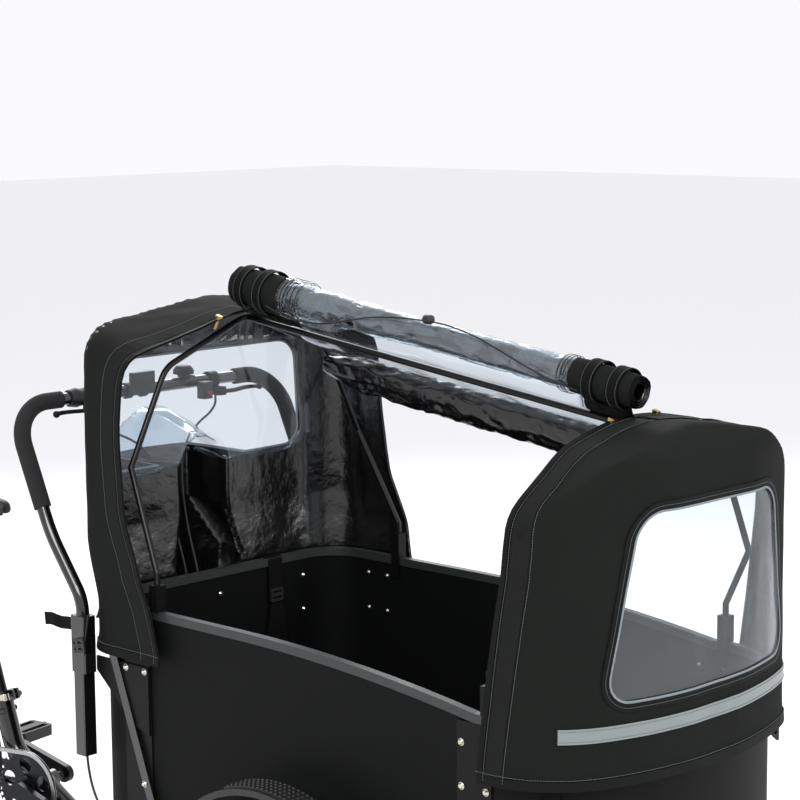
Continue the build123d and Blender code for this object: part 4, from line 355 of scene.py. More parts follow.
class Hood:
    """Grid of points on a hood: columns run round it from one zip edge to the other, rows from hem to ridge."""

    def __init__(self, name, node, profile, corner_x, facing, hem, sag, seed):
        self.tree = surface_of(node, "hood_windows")
        self.name, self.profile, self.corner_x, self.facing = name, profile, corner_x, facing
        self.hem, self.seed = hem, seed
        self.edges = {}
        self.side_columns, self.nose_columns = 22, 72
        self.wall_rows, self.roof_rows = 46, 34
        self.columns = 2 * self.side_columns + self.nose_columns + 1
        self.rows = self.wall_rows + self.roof_rows
        self.find_edges()
        self.grid = [[self.hit(c, r) for r in range(self.rows)] for c in range(self.columns)]
        self.smooth(2)
        self.sag(sag)
        flat = [p for column in self.grid for p in column]
        self.faces = grid_faces(self.columns, self.rows)
        self.normals = vertex_normals(flat, self.faces)
        if self.normals[self.rows // 3 + 30 * self.rows].y * flat[self.rows // 3 + 30 * self.rows].y < 0:
            self.faces = [tuple(reversed(f)) for f in self.faces]
            self.normals = [-n for n in self.normals]

    def hit(self, column, row):
        """Point of the CAD hood for one place in the grid."""
        share = column - self.side_columns
        height, swing = self.level(row)
        if 0 <= share <= self.nose_columns:
            azimuth = math.pi / 2 - math.pi * share / self.nose_columns
            origin_x = self.corner_x
        else:
            azimuth = math.pi / 2 if share < 0 else -math.pi / 2
            step = (column if share < 0 else self.columns - 1 - column) / self.side_columns
            edge = self.edges[(row, share < 0)]
            origin_x = edge + (self.corner_x - edge) * step
        out = Vector(
            (math.cos(azimuth) * math.cos(swing) * self.facing, math.sin(azimuth) * math.cos(swing), math.sin(swing))
        )
        found = self.shoot(Vector((origin_x, 0, height)), out)
        return found if found is not None else Vector((origin_x, 0, height)) + out * 0.3

    def shoot(self, origin, out):
        """Where a ray from outside first meets the hood, or None if it passes the hood by."""
        found, _n, _i, _d = self.tree.ray_cast(origin + out * 1.6, -out)
        if found is None or (found - origin).dot(out) < 0.12:
            return None
        return found

    def find_edges(self):
        """Place of the zip edge on each row: step into the hood until a ray meets it, then even out."""
        for on_left in (True, False):
            places = []
            for row in range(self.rows):
                height, swing = self.level(row)
                out = Vector((0, math.cos(swing) * (1 if on_left else -1), math.sin(swing)))
                x = along_profile(self.profile, height) - self.facing * 0.02
                for _ in range(60):
                    found = self.shoot(Vector((x, 0, height)), out)
                    if found is not None and (found.x - along_profile(self.profile, found.z)) * self.facing > 0.0015:
                        break
                    x += self.facing * 0.0015
                places.append(x)
            middle = [
                sorted(places[max(0, r - 4) : r + 5])[len(places[max(0, r - 4) : r + 5]) // 2] for r in range(self.rows)
            ]
            for row in range(self.rows):
                near = middle[max(0, row - 2) : row + 3]
                self.edges[(row, on_left)] = sum(near) / len(near) + self.facing * 0.002

    def level(self, row):
        """Height of a row's ray origin, and how far the ray has swung up from level."""
        height = self.hem + 0.002 + (WALL_TOP - self.hem) * min(row, self.wall_rows) / self.wall_rows
        height = min(height, WALL_TOP)
        return height, max(0, row - self.wall_rows) / (self.roof_rows - 1) * math.pi / 2

    def smooth(self, times):
        for _ in range(times):
            old = [[p.copy() for p in column] for column in self.grid]
            for c in range(1, self.columns - 1):
                for r in range(1, self.rows - 1):
                    near = old[c - 1][r] + old[c + 1][r] + old[c][r - 1] + old[c][r + 1]
                    self.grid[c][r] = old[c][r] * 0.4 + near * 0.15

    def sag(self, depth):
        """Soft folds: long ones down the walls and small ones near the seams, only ever inwards."""
        centre = Vector((self.corner_x, 0, WALL_TOP - 0.1))
        for c, column in enumerate(self.grid):
            for r, p in enumerate(column):
                inward = (centre - p).normalized()
                long_fold = noise.noise(Vector((p.x * 9, p.y * 9, p.z * 2.2 + self.seed)))
                small = noise.noise(Vector((p.x * 30 + self.seed, p.y * 30, p.z * 16)))
                edge = min(1.0, r / 5, c / 3, (self.columns - 1 - c) / 3)
                amount = depth * (0.55 + 0.9 * long_fold) + depth * 0.35 * small
                column[r] = p + inward * max(0.0, amount) * edge

    def at(self, c, r):
        return self.grid[c][r]

    def normal(self, c, r):
        return self.normals[c * self.rows + r]

    def from_zip(self, side, row, distance):
        """Point and normal on a row at a distance from the zip edge; side 0 is the +Y edge."""
        order = range(self.columns) if side == 0 else range(self.columns - 1, -1, -1)
        return self.walk([(c, row) for c in order], distance)

    def from_hem(self, column, distance):
        return self.walk([(column, r) for r in range(self.rows)], distance)

    def walk(self, places, distance):
        for (c0, r0), (c1, r1) in zip(places, places[1:]):
            a, b = self.at(c0, r0), self.at(c1, r1)
            step = (b - a).length
            if distance <= step:
                t = distance / step if step else 0
                return a.lerp(b, t), self.normal(c0, r0).lerp(self.normal(c1, r1), t).normalized()
            distance -= step
        c, r = places[-1]
        return self.at(c, r), self.normal(c, r)


def window_depth(point, low, high, half_low, half_high, corner):
    """Signed distance to a rounded window in a hood's end, negative inside."""
    share = min(1.0, max(0.0, (point.z - low) / (high - low)))
    half = half_low + (half_high - half_low) * share
    q_y = abs(point.y) - half + corner
    q_z = abs(point.z - (low + high) / 2) - (high - low) / 2 + corner
    return math.hypot(max(q_y, 0), max(q_z, 0)) + min(max(q_y, q_z), 0) - corner


def build_hood(hood, window, mats):
    """Cuts the window out of the hood's grid and thickens it into a lined sheet."""
    def depth_at(p):
        if (p.x - hood.corner_x) * hood.facing < 0.02:
            return 1.0
        return window_depth(p, *window)

    points = [p for column in hood.grid for p in column]
    depth = [depth_at(p) for p in points]
    pairs = [
        (c * hood.rows + r, c * hood.rows + r + 1) for c in range(hood.columns) for r in range(hood.rows - 1)
    ]
    pairs += [
        (c * hood.rows + r, (c + 1) * hood.rows + r) for c in range(hood.columns - 1) for r in range(hood.rows)
    ]
    for i, k in pairs:
        if depth[i] * depth[k] < 0:
            near = i if abs(depth[i]) <= abs(depth[k]) else k
            points[near] = points[i].lerp(points[k], depth[i] / (depth[i] - depth[k]))
            depth[near] = 0.0
    keep, panes = [], []
    for face in hood.faces:
        around = [depth[i] for i in face]
        if min(around) <= 0:
            panes.append(face)
        if min(around) >= 0:
            if max(around) > 0:
                keep.append(face)
        elif max(around) > 0:
            keep += [(face[n - 1], face[n], face[(n + 1) % 4]) for n in range(4) if around[n] > 0]
    verts, faces, slots_of = thicken(points, keep, hood.normals, 0.0014)
    cloth = make_piece(hood.name, verts, faces, mats)
    for polygon, slot in zip(cloth.data.polygons, slots_of):
        polygon.material_index = slot
    film_points = [p - n * 0.0022 for p, n in zip(points, hood.normals)]
    verts, faces, _slots = thicken(film_points, panes, hood.normals, 0.0006)
    used = sorted({i for f in faces for i in f})
    index = {old: new for new, old in enumerate(used)}
    film = make_piece(
        hood.name + "_window", [verts[i] for i in used], [tuple(index[i] for i in f) for f in faces],
        [MAT["film"]]
    )
    return cloth, film


def strip_between(name, near, far, mat, lift=0.0012, thick=0.001):
    """Thin strip sewn on a hood between two lists of (point, normal)."""
    verts = []
    for (a, na), (b, nb) in zip(near, far):
        verts += [a + na * lift, b + nb * lift, b + nb * (lift + thick), a + na * (lift + thick)]
    faces = []
    for i in range(len(near) - 1):
        for s in range(4):
            u, v = i * 4 + s, i * 4 + (s + 1) % 4
            faces.append((u, v, v + 4, u + 4))
    last = (len(near) - 1) * 4
    faces += [(3, 2, 1, 0), (last, last + 1, last + 2, last + 3)]
    return make_piece(name, verts, faces, [mat], smooth=False)


rear = Hood("rear_hood_cloth", "rear_hood", REAR_ZIP, BOX_X - 0.105, -1, 0.690, 0.005, 3.1)
front = Hood("front_hood_cloth", "front_hood", FRONT_ZIP, BOX_X + 0.945, 1, 0.640, 0.004, 8.4)
REAR_WINDOW = (1.01, 1.24, 0.272, 0.262, 0.045)
FRONT_WINDOW = (0.775, 1.09, 0.250, 0.190, 0.05)
hood_mats = [MAT["tent_cloth"], MAT["tent_inside"]]
rear_cloth, rear_film = build_hood(rear, REAR_WINDOW, hood_mats)
front_cloth, front_film = build_hood(front, FRONT_WINDOW, hood_mats)
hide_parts("rear_hood")
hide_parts("front_hood")
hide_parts("hood_windows")
print("hood faces", len(rear_cloth.data.polygons), len(front_cloth.data.polygons))


# %% [markdown]
# ## Seams, bindings and stitches
# A binding folds over each zip edge, a hook strip runs beside it, and two stitch lines hold
# it. The stitches are one short capsule put along guide lines by Geometry Nodes: the same
# thread, evenly spaced, whatever length the seam has.

# %% Stitch tree
def stitch_tree():
    """Geometry Nodes: resample a guide line and set one stitch on each point."""
    tree = bpy.data.node_groups.new("stitches_along_line", "GeometryNodeTree")
    face = tree.interface
    face.new_socket("Geometry", in_out="INPUT", socket_type="NodeSocketGeometry")
    pitch = face.new_socket("Stitch pitch", in_out="INPUT", socket_type="NodeSocketFloat")
    thread = face.new_socket("Thread width", in_out="INPUT", socket_type="NodeSocketFloat")
    finish = face.new_socket("Thread", in_out="INPUT", socket_type="NodeSocketMaterial")
    face.new_socket("Geometry", in_out="OUTPUT", socket_type="NodeSocketGeometry")
    source = tree.nodes.new("NodeGroupInput")
    curve = add_node(tree, "GeometryNodeMeshToCurve", [(source.outputs["Geometry"], "Mesh")])
    even = add_node(
        tree, "GeometryNodeResampleCurve",
        [(curve.outputs["Curve"], "Curve"), (source.outputs["Stitch pitch"], "Length")], mode="LENGTH"
    )
    points = add_node(tree, "GeometryNodeCurveToPoints", [(even.outputs["Curve"], "Curve")], mode="EVALUATED")
    shape = add_node(tree, "GeometryNodeMeshCube")
    long_side = add_node(tree, "ShaderNodeMath", [(source.outputs["Stitch pitch"], 0)], operation="MULTIPLY")
    long_side.inputs[1].default_value = 0.62
    size = add_node(
        tree, "ShaderNodeCombineXYZ",
        [(source.outputs["Thread width"], "X"), (source.outputs["Thread width"], "Y"), (long_side.outputs[0], "Z")]
    )
    tree.links.new(size.outputs[0], shape.inputs["Size"])
    placed = add_node(
        tree,
        "GeometryNodeInstanceOnPoints",
        [(points.outputs["Points"], "Points"), (shape.outputs["Mesh"], "Instance"), (points.outputs["Rotation"], "Rotation")],
    )
    real = add_node(tree, "GeometryNodeRealizeInstances", [(placed.outputs["Instances"], "Geometry")])
    colour = add_node(
        tree, "GeometryNodeSetMaterial",
        [(real.outputs["Geometry"], "Geometry"), (source.outputs["Thread"], "Material")]
    )
    out = tree.nodes.new("NodeGroupOutput")
    tree.links.new(colour.outputs["Geometry"], out.inputs["Geometry"])
    return tree, {"pitch": pitch.identifier, "thread": thread.identifier, "finish": finish.identifier}


def run_nodes(name, lines, tree, values, body="cargo_box"):
    """Evaluates a tree on guide lines and keeps the result as a plain mesh."""
    verts, edges = [], []
    for line in lines:
        start = len(verts)
        verts += [tuple(p) for p in line]
        edges += [(start + i, start + i + 1) for i in range(len(line) - 1)]
    guide_mesh = bpy.data.meshes.new(name + "_guide")
    guide_mesh.from_pydata(verts, edges, [])
    guide = bpy.data.objects.new(name + "_guide", guide_mesh)
    bpy.context.scene.collection.objects.link(guide)
    modifier = guide.modifiers.new("nodes", "NODES")
    modifier.node_group = tree
    for key, value in values.items():
        modifier[key] = value
    bpy.context.view_layer.update()
    evaluated = guide.evaluated_get(bpy.context.evaluated_depsgraph_get())
    mesh = bpy.data.meshes.new_from_object(evaluated)
    mesh.name = name
    made = bpy.data.objects.new(name, mesh)
    bpy.context.scene.collection.objects.link(made)
    bpy.data.objects.remove(guide)
    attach(made, body)
    return made


STITCHES, STITCH_IN = stitch_tree()


def stitch(name, lines, pitch=0.0045, thread=0.0006, mat="thread"):
    return run_nodes(
        name, lines, STITCHES,
        {STITCH_IN["pitch"]: pitch, STITCH_IN["thread"]: thread, STITCH_IN["finish"]: MAT[mat]}
    )


# %% Sew both hoods
EDGE_LINES = (0.014, 0.052)
for hood, label in ((rear, "rear"), (front, "front")):
    seam_lines = []
    for side in (0, 1):
        rows = range(0, hood.rows)
        edge = [hood.from_zip(side, r, 0.0005) for r in rows]
        strip_between(
            f"{label}_zip_binding_{side}", edge, [hood.from_zip(side, r, 0.011) for r in rows],
            MAT["binding"], thick=0.0016
        )
        strip_between(
            f"{label}_hook_strip_{side}",
            [hood.from_zip(side, r, 0.018) for r in rows[:-1]],
            [hood.from_zip(side, r, 0.048) for r in rows[:-1]],
            MAT["velcro"],
        )
        for distance in EDGE_LINES:
            seam_lines.append(
                [p + n * 0.0026 for p, n in (hood.from_zip(side, r, distance) for r in rows[1:-1])]
            )
    columns = range(hood.columns)
    strip_between(
        f"{label}_hem_binding", [hood.from_hem(c, 0.0) for c in columns], [hood.from_hem(c, 0.016) for c in columns], MAT["binding"], thick=0.0014
    )
    seam_lines.append([p + n * 0.003 for p, n in (hood.from_hem(c, 0.019) for c in columns)])
    stitch(f"{label}_hood_stitches", seam_lines)
nose = [c for c in range(front.columns) if front.at(c, 10).x > BOX_X + 0.985]
strip_between(
    "reflective_strip", [front.from_hem(c, 0.078) for c in nose], [front.from_hem(c, 0.103) for c in nose],
    MAT["reflective"]
)
stitch("reflective_stitches", [[p + n * 0.0028 for p, n in (front.from_hem(c, d) for c in nose)] for d in (0.082, 0.099)])
print("hoods sewn")


# %% [markdown]
# ## Window frames
# Each pane is held by a narrow pale tape inside a black binding that follows the opening.

# %% Window tapes
def window_outline(window, grow, count=160):
    """Points round a window, in the end's own Y and Z."""
    low, high, half_low, half_high, corner = window
    corner += grow
    middle = (low + high) / 2
    tall = (high - low) / 2 + grow
    points = []
    for i in range(count):
        turn = 2 * math.pi * i / count
        reach = 0.6
        a, b = 0.0, reach
        for _ in range(24):
            m = (a + b) / 2
            p = Vector((0, math.cos(turn) * m, middle + math.sin(turn) * m))
            if window_depth(p, low - grow, high + grow, half_low + grow, half_high + grow, corner) < 0:
                a = m
            else:
                b = m
        points.append((math.cos(turn) * a, middle + math.sin(turn) * a))
    return points


def on_end(hood, y, z, lift):
    """Point on a hood's end wall, lifted off its surface."""
    out = Vector((hood.facing, 0, 0))
    found, normal, _i, _d = hood.cloth_tree.ray_cast(Vector((hood.corner_x, y, z)) + out * 1.5, -out)
    if found is None:
        found, normal = Vector((hood.corner_x + hood.facing * 0.2, y, z)), out
    if normal.dot(out) < 0:
        normal = -normal
    return found + normal * lift, normal


for hood, window, label in ((rear, REAR_WINDOW, "rear"), (front, FRONT_WINDOW, "front")):
    flat = [p for column in hood.grid for p in column]
    hood.cloth_tree = BVHTree.FromPolygons(flat, hood.faces)
    for tape, start, end, mat, thick in (
        ("window_binding", -0.002, 0.012, "binding", 0.0016),
        ("window_tape", -0.006, -0.002, "window_tape", 0.001)
    ):
        near = [on_end(hood, y, z, 0) for y, z in window_outline(window, start)]
        far = [on_end(hood, y, z, 0) for y, z in window_outline(window, end)]
        strip_between(f"{label}_{tape}", near + near[:1], far + far[:1], MAT[mat], lift=0.0006, thick=thick)
    ring_line = [p + n * 0.003 for p, n in (on_end(hood, y, z, 0) for y, z in window_outline(window, 0.005))]
    stitch(f"{label}_window_stitches", [ring_line + ring_line[:1]], pitch=0.004)
print("windows framed")


# %% [markdown]
# ## Rolled doors
# The right door is rolled up on the ridge: cloth at both ends, clear film between, held by
# webbing loops. A roll is a spiral sheet, so its end shows the turns.

# %% Right roll
ROLL_START = Vector((BOX_X - 0.042, -0.036, 1.380))
ROLL_END = Vector((BOX_X + 0.936, -0.036, 1.256))
ROLL_RUN = ROLL_END - ROLL_START
ROLL_ALONG = ROLL_RUN.normalized()
ROLL_SIDE = Vector((0, 1, 0))
ROLL_UP = ROLL_ALONG.cross(ROLL_SIDE)
ROLL_RADII = ((0.0, 0.040), (0.12, 0.042), (0.5, 0.031), (0.9, 0.035), (1.0, 0.033))


def roll_radius(share):
    for (before, small), (after, large) in zip(ROLL_RADII, ROLL_RADII[1:]):
        if share <= after:
            return small + (large - small) * (share - before) / (after - before)
    return ROLL_RADII[-1][1]


def on_roll(share, angle, lift=0.0, scale=1.0):
    """Point round the roll's line at an angle from its left side."""
    reach = roll_radius(share) * scale + lift
    turn = math.radians(angle)
    return ROLL_START + ROLL_RUN * share + ROLL_SIDE * math.cos(turn) * reach + ROLL_UP * math.sin(turn) * reach


def spiral_roll(name, start, end, scale, turns, gap, mats, seed, crumple, steps=70, around=44):
    """Sheet rolled on itself; each turn lies a gap inside the last, and crumples as rolled film does."""
    points = []
    for i in range(steps + 1):
        share = start + (end - start) * i / steps
        for k in range(int(around * turns) + 1):
            turn = k / around
            dent = noise.noise(
                Vector((share * 26, math.cos(turn * 6.283) * 1.6 + seed, math.sin(turn * 6.283) * 1.6 + turn))
            )
            fold = noise.noise(Vector((share * 90, turn * 3, seed)))
            shrink = max(0.0, dent) * crumple + abs(fold) * crumple * 0.3
            points.append(on_roll(share, 360 * turn + 100, -gap * turn - shrink, scale))
    rows = int(around * turns) + 1
    faces = grid_faces(steps + 1, rows)
    normals = vertex_normals(points, faces)
    if normals[5].dot(points[5] - (ROLL_START + ROLL_RUN * start)) < 0:
        faces = [tuple(reversed(f)) for f in faces]
        normals = [-n for n in normals]
    verts, faces, slots_of = thicken(points, faces, normals, 0.0007)
    made = make_piece(name, verts, faces, mats)
    for polygon, slot in zip(made.data.polygons, slots_of):
        polygon.material_index = min(slot, len(mats) - 1)
    return made


CLOTH_END_REAR, CLOTH_END_FRONT = 0.135, 0.865
rear_end = spiral_roll(
    "roll_cloth_rear", 0.0, CLOTH_END_REAR, 0.985, 4, 0.0052, [MAT["tent_cloth"], MAT["tent_inside"]], 1.0,
    0.003, steps=26
)
front_end = spiral_roll(
    "roll_cloth_front", CLOTH_END_FRONT, 1.0, 0.985, 4, 0.0045, [MAT["tent_cloth"], MAT["tent_inside"]], 2.0,
    0.003, steps=26
)
film_roll = spiral_roll(
    "roll_film", CLOTH_END_REAR - 0.02, CLOTH_END_FRONT + 0.02, 0.93, 2.4, 0.004, [MAT["roll_film"]], 5.0,
    0.009, steps=150
)
core = spiral_roll(
    "roll_core", 0.1, 0.9, 0.78, 2.4, 0.004, [MAT["tent_inside"]], 9.0, 0.008, steps=90, around=24
)
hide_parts("door_roll_right")
for share in (0.142, 0.150, 0.158, 0.167, 0.178, 0.19, 0.842, 0.850, 0.857):
    ring = [on_roll(share, a, -0.0012) for a in range(0, 361, 12)]
    ribbon(f"roll_ring_{int(share * 1000)}", ring, ROLL_ALONG, 0.0022, 0.0008, MAT["tent_inside"])
LOOPS = (0.03, 0.085, 0.91, 0.965)
loop_guides = []
for number, share in enumerate(LOOPS):
    ring = [on_roll(share, a, 0.0016) for a in range(0, 361, 9)]
    made = ribbon(f"roll_loop_{number}", ring, ROLL_ALONG, 0.025, 0.0018, MAT["webbing"])
    if number == 0:
        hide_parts("tent_straps")
    for shift in (-0.0095, 0.0095):
        loop_guides.append(
            [p + ROLL_ALONG * shift + (p - ROLL_START - ROLL_RUN * share).normalized() * 0.0011 for p in ring]
        )
    tail = [on_roll(share, 250 + 6 * k, 0.004 + 0.002 * k) for k in range(6)]
    ribbon(f"roll_loop_tail_{number}", tail, ROLL_ALONG, 0.022, 0.0016, MAT["webbing"])
stitch("roll_loop_stitches", loop_guides, pitch=0.004)

# %% [markdown]
# The left door hangs rolled inside the ridge, coated side out, with a strip of clear film
# between it and the ridge pole.

# %% Left roll and its film
left_low, left_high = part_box("door_roll_left")
DROOP_HALF_WIDE, DROOP_HALF_TALL = (left_high.y - left_low.y) / 2, 0.037
droop_y = (left_high.y + left_low.y) / 2
droop_start = Vector((left_low.x + 0.006, droop_y, left_high.z - DROOP_HALF_TALL))
droop_end = Vector((left_high.x - 0.006, droop_y, left_low.z + DROOP_HALF_TALL))
droop_points = []
DROOP_STEPS, DROOP_SIDES = 120, 40
for i in range(DROOP_STEPS + 1):
    share = i / DROOP_STEPS
    centre = droop_start.lerp(droop_end, share)
    for k in range(DROOP_SIDES):
        turn = 2 * math.pi * k / DROOP_SIDES
        dent = noise.noise(Vector((share * 13, math.cos(turn) * 1.8, math.sin(turn) * 1.8)))
        fine = noise.noise(Vector((share * 45, math.cos(turn) * 3.5, math.sin(turn) * 3.5 + 4)))
        pinch = 0.55 + 0.45 * min(1.0, 8 * share, 8 * (1 - share))
        reach = (0.97 - 0.24 * abs(dent) - 0.16 * max(0.0, fine)) * pinch
        droop_points.append(
            centre + Vector((0, math.cos(turn) * DROOP_HALF_WIDE, math.sin(turn) * DROOP_HALF_TALL)) * reach
        )
droop_faces = []
for i in range(DROOP_STEPS):
    for k in range(DROOP_SIDES):
        a, b = i * DROOP_SIDES + k, i * DROOP_SIDES + (k + 1) % DROOP_SIDES
        droop_faces.append((a, a + DROOP_SIDES, b + DROOP_SIDES, b))
droop_faces += [
    tuple(range(DROOP_SIDES)),
    tuple(reversed(range(DROOP_STEPS * DROOP_SIDES, (DROOP_STEPS + 1) * DROOP_SIDES)))
]
left_roll = make_piece("door_roll_left_cloth", droop_points, droop_faces, [MAT["tent_inside"]])
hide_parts("door_roll_left")
RIDGE_REAR_AT = Vector((BOX_X - 0.068, 0.006, 1.318))
RIDGE_FRONT_AT = Vector((BOX_X + 0.922, 0.006, 1.190))


def film_sheet(name, top_line, bottom_line, mat, seed, steps=60, across=10):
    """Clear strip hung between two lines, bellied a little by its own weight."""
    points = []
    for i in range(steps + 1):
        a, b = (line[0].lerp(line[1], i / steps) for line in (top_line, bottom_line))
        for k in range(across + 1):
            share = k / across
            belly = math.sin(math.pi * share) * (
                0.008 + 0.006 * noise.noise(Vector((i * 0.16, share * 2, seed)))
            )
            points.append(a.lerp(b, share) + Vector((0, -0.4, -1)).normalized() * belly)
    faces = grid_faces(steps + 1, across + 1)
    verts, shell, _slots = thicken(points, faces, vertex_normals(points, faces), 0.0006)
    made = make_piece(name, verts, shell, [mat])
    return made


film_start, film_end = RIDGE_REAR_AT.lerp(RIDGE_FRONT_AT, 0.12), RIDGE_REAR_AT.lerp(RIDGE_FRONT_AT, 0.9)
film_sheet(
    "ridge_film_strip",
    (film_start, film_end),
    (droop_start.lerp(droop_end, 0.02) + Vector((0, -0.008, 0.03)), droop_start.lerp(droop_end, 0.97) + Vector((0, -0.008, 0.03))),
    MAT["film"],
    3.0,
)


def flap(name, start, end, mat):
    """Root of the right door: it rises from the ridge pole and runs into the roll."""
    top = [ROLL_START + ROLL_RUN * share + Vector((0, 0.012, -0.02)) for share in (start, end)]
    shares = [((p.x - RIDGE_REAR_AT.x) / (RIDGE_FRONT_AT.x - RIDGE_REAR_AT.x)) for p in top]
    foot = [RIDGE_REAR_AT.lerp(RIDGE_FRONT_AT, share) + Vector((0, -0.004, 0.002)) for share in shares]
    return film_sheet(name, tuple(top), tuple(foot), mat, 6.0, steps=30, across=6)


flap("door_root_rear", 0.0, 0.14, MAT["tent_cloth"])
flap("door_root_film", 0.14, 0.86, MAT["film"])
flap("door_root_front", 0.86, 0.97, MAT["tent_cloth"])
print("doors rolled")

# %% [markdown]
# ## Elastic cord
# The cord repeats the CAD route's points as a smooth curve with thickness.

# %% Elastic cord
ELASTIC_STATIONS = (
    (0.115, 200), (0.15, 216), (0.19, 225), (0.235, 222), (0.28, 210), (0.325, 190), (0.37, 168),
    (0.415, 150), (0.46, 136), (0.505, 124), (0.55, 118), (0.595, 122), (0.64, 132), (0.685, 146),
    (0.73, 162), (0.775, 178), (0.82, 192), (0.86, 201), (0.892, 206),
)
ELASTIC = 0.003
route = [on_roll(share, angle, ELASTIC / 2 + 0.0022) for share, angle in ELASTIC_STATIONS]
elastic_data = bpy.data.curves.new("elastic_cord", "CURVE")
elastic_data.dimensions = "3D"
elastic_data.bevel_depth = ELASTIC / 2
elastic_data.bevel_resolution = 4
elastic_data.use_fill_caps = True
line = elastic_data.splines.new("NURBS")
line.points.add(len(route) - 1)
for point, place in zip(line.points, route):
    point.co = (*place, 1.0)
line.order_u = 3
line.use_endpoint_u = True
elastic = bpy.data.objects.new("elastic_cord", elastic_data)
bpy.context.scene.collection.objects.link(elastic)
elastic_data.materials.append(MAT["elastic"])
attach(elastic, "cargo_box")
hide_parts("roll_elastic")

# %% [markdown]
# ## Webbing
# Straps are flat bands along short lines; the two hood straps carry two rows of stitches each.

# %% Straps and belt
POST_X = BOX_X - 0.168
POST_Y = 0.353
NOSE_X = BOX_X + 1.053
strap_guides = []
for side in (-1, 1):
    y = side * (POST_Y + 0.0125)
    down = [
        Vector((POST_X + 0.024 - 0.024 * t, y + side * 0.0012 * math.sin(math.pi * t), 0.763 - 0.115 * t)) for t in (k / 12 for k in range(13))
    ]
    ribbon(f"hood_strap_{side + 1}", down, Vector((1, 0, 0.2)), 0.025, 0.0018, MAT["webbing"])
    tail = [
        Vector(
            (POST_X - 0.024 - 0.008 * k, side * (POST_Y + 0.0015 * math.sin(k)), 0.733 + 0.0016 * math.sin(k * 0.9))
        )
        for k in range(13)
    ]
    ribbon(f"hood_strap_tail_{side + 1}", tail, Vector((0, 0, 1)), 0.025, 0.0018, MAT["webbing"])
    lean = math.radians(52)
    wide = Vector((-math.sin(lean), side * math.cos(lean), 0))
    fall = [Vector((NOSE_X - 0.078, side * 0.311, 0.668 - 0.066 * k / 8)) for k in range(9)]
    ribbon(f"front_strap_{side + 1}", fall, wide, 0.025, 0.0018, MAT["webbing"])
    for shift in (-0.009, 0.009):
        strap_guides.append([p + Vector((shift, side * 0.0012, 0)) for p in down])
stitch("strap_stitches", strap_guides, pitch=0.004)
WALL_IN = BOX_X - 0.175 + 0.010
BELT_Y = 0.150
over_edge = [
    Vector((WALL_IN - 0.0135, BELT_Y, 0.765)), Vector((WALL_IN - 0.0137, BELT_Y, 0.785)), Vector(
        (WALL_IN - 0.010, BELT_Y, 0.7915)
    ),
    Vector((WALL_IN, BELT_Y, 0.792)), Vector((WALL_IN + 0.0042, BELT_Y, 0.786)), Vector((WALL_IN + 0.0048, BELT_Y, 0.76)), Vector(
        (WALL_IN + 0.0045, BELT_Y, 0.70)
    ),
]
belt = ribbon("belt_upper", over_edge, Vector((0, 1, 0)), 0.038, 0.0016, MAT["webbing"])
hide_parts("seat_belts")
for spread in (-0.026, 0.026):
    lower = [
        Vector((WALL_IN + 0.005 + 0.004 * math.sin(k * 0.5), BELT_Y + spread * k / 10, 0.702 - 0.0148 * k)) for k in range(11)
    ]
    ribbon(
        f"belt_lower_{'right' if spread < 0 else 'left'}", lower, Vector((0, 1, 0)), 0.03, 0.0016,
        MAT["webbing"]
    )
print("straps done")

# %% [markdown]
# ## Zip pulls
# A brass slider with a short plate hangs at the top of each zip, where both doors meet the ridge.

# %% Zip pulls
def plate(name, centre, size, turn, mat, body="cargo_box"):
    """Small flat plate, turned about the row's Y axis."""
    spin = Matrix.Rotation(turn, 3, "Y")
    corners = [
        Vector((x * size[0] / 2, y * size[1] / 2, z * size[2] / 2)) for x in (-1, 1) for y in (-1, 1) for z in (-1, 1)
    ]
    faces = [(0, 1, 3, 2), (4, 6, 7, 5), (0, 4, 5, 1), (2, 3, 7, 6), (0, 2, 6, 4), (1, 5, 7, 3)]
    return make_piece(name, [centre + spin @ c for c in corners], faces, [mat], body, smooth=False)


for hood, label in ((rear, "rear"), (front, "front")):
    for side in (0, 1):
        top, normal = hood.from_zip(side, hood.rows - 7, 0.004)
        plate(f"{label}_zip_slider_{side}", top + normal * 0.005, (0.012, 0.009, 0.006), 0.3, MAT["brass"])
        plate(
            f"{label}_zip_plate_{side}", top + normal * 0.007 + Vector((0.0, -0.006, -0.014)),
            (0.0018, 0.007, 0.026), 0.5, MAT["brass"]
        )

# %% [markdown]
# ## Saddle
# A padded saddle is a crowned form over a base: sections along its length, joined and
# smoothed by one subdivision.

# %% Saddle
PIVOT = Vector((BOX_X + 0.250, 0, 0))
TURN = math.radians(10)
REAR_AHEAD = Vector((math.cos(TURN), math.sin(TURN), 0))
REAR_LEFT = Vector((-math.sin(TURN), math.cos(TURN), 0))


def rear_point(u, v, z):
    """Point on the rear frame's own axes: u ahead of the kingpin, v to the left, z up."""
    return PIVOT + REAR_AHEAD * u + REAR_LEFT * v + Vector((0, 0, z))


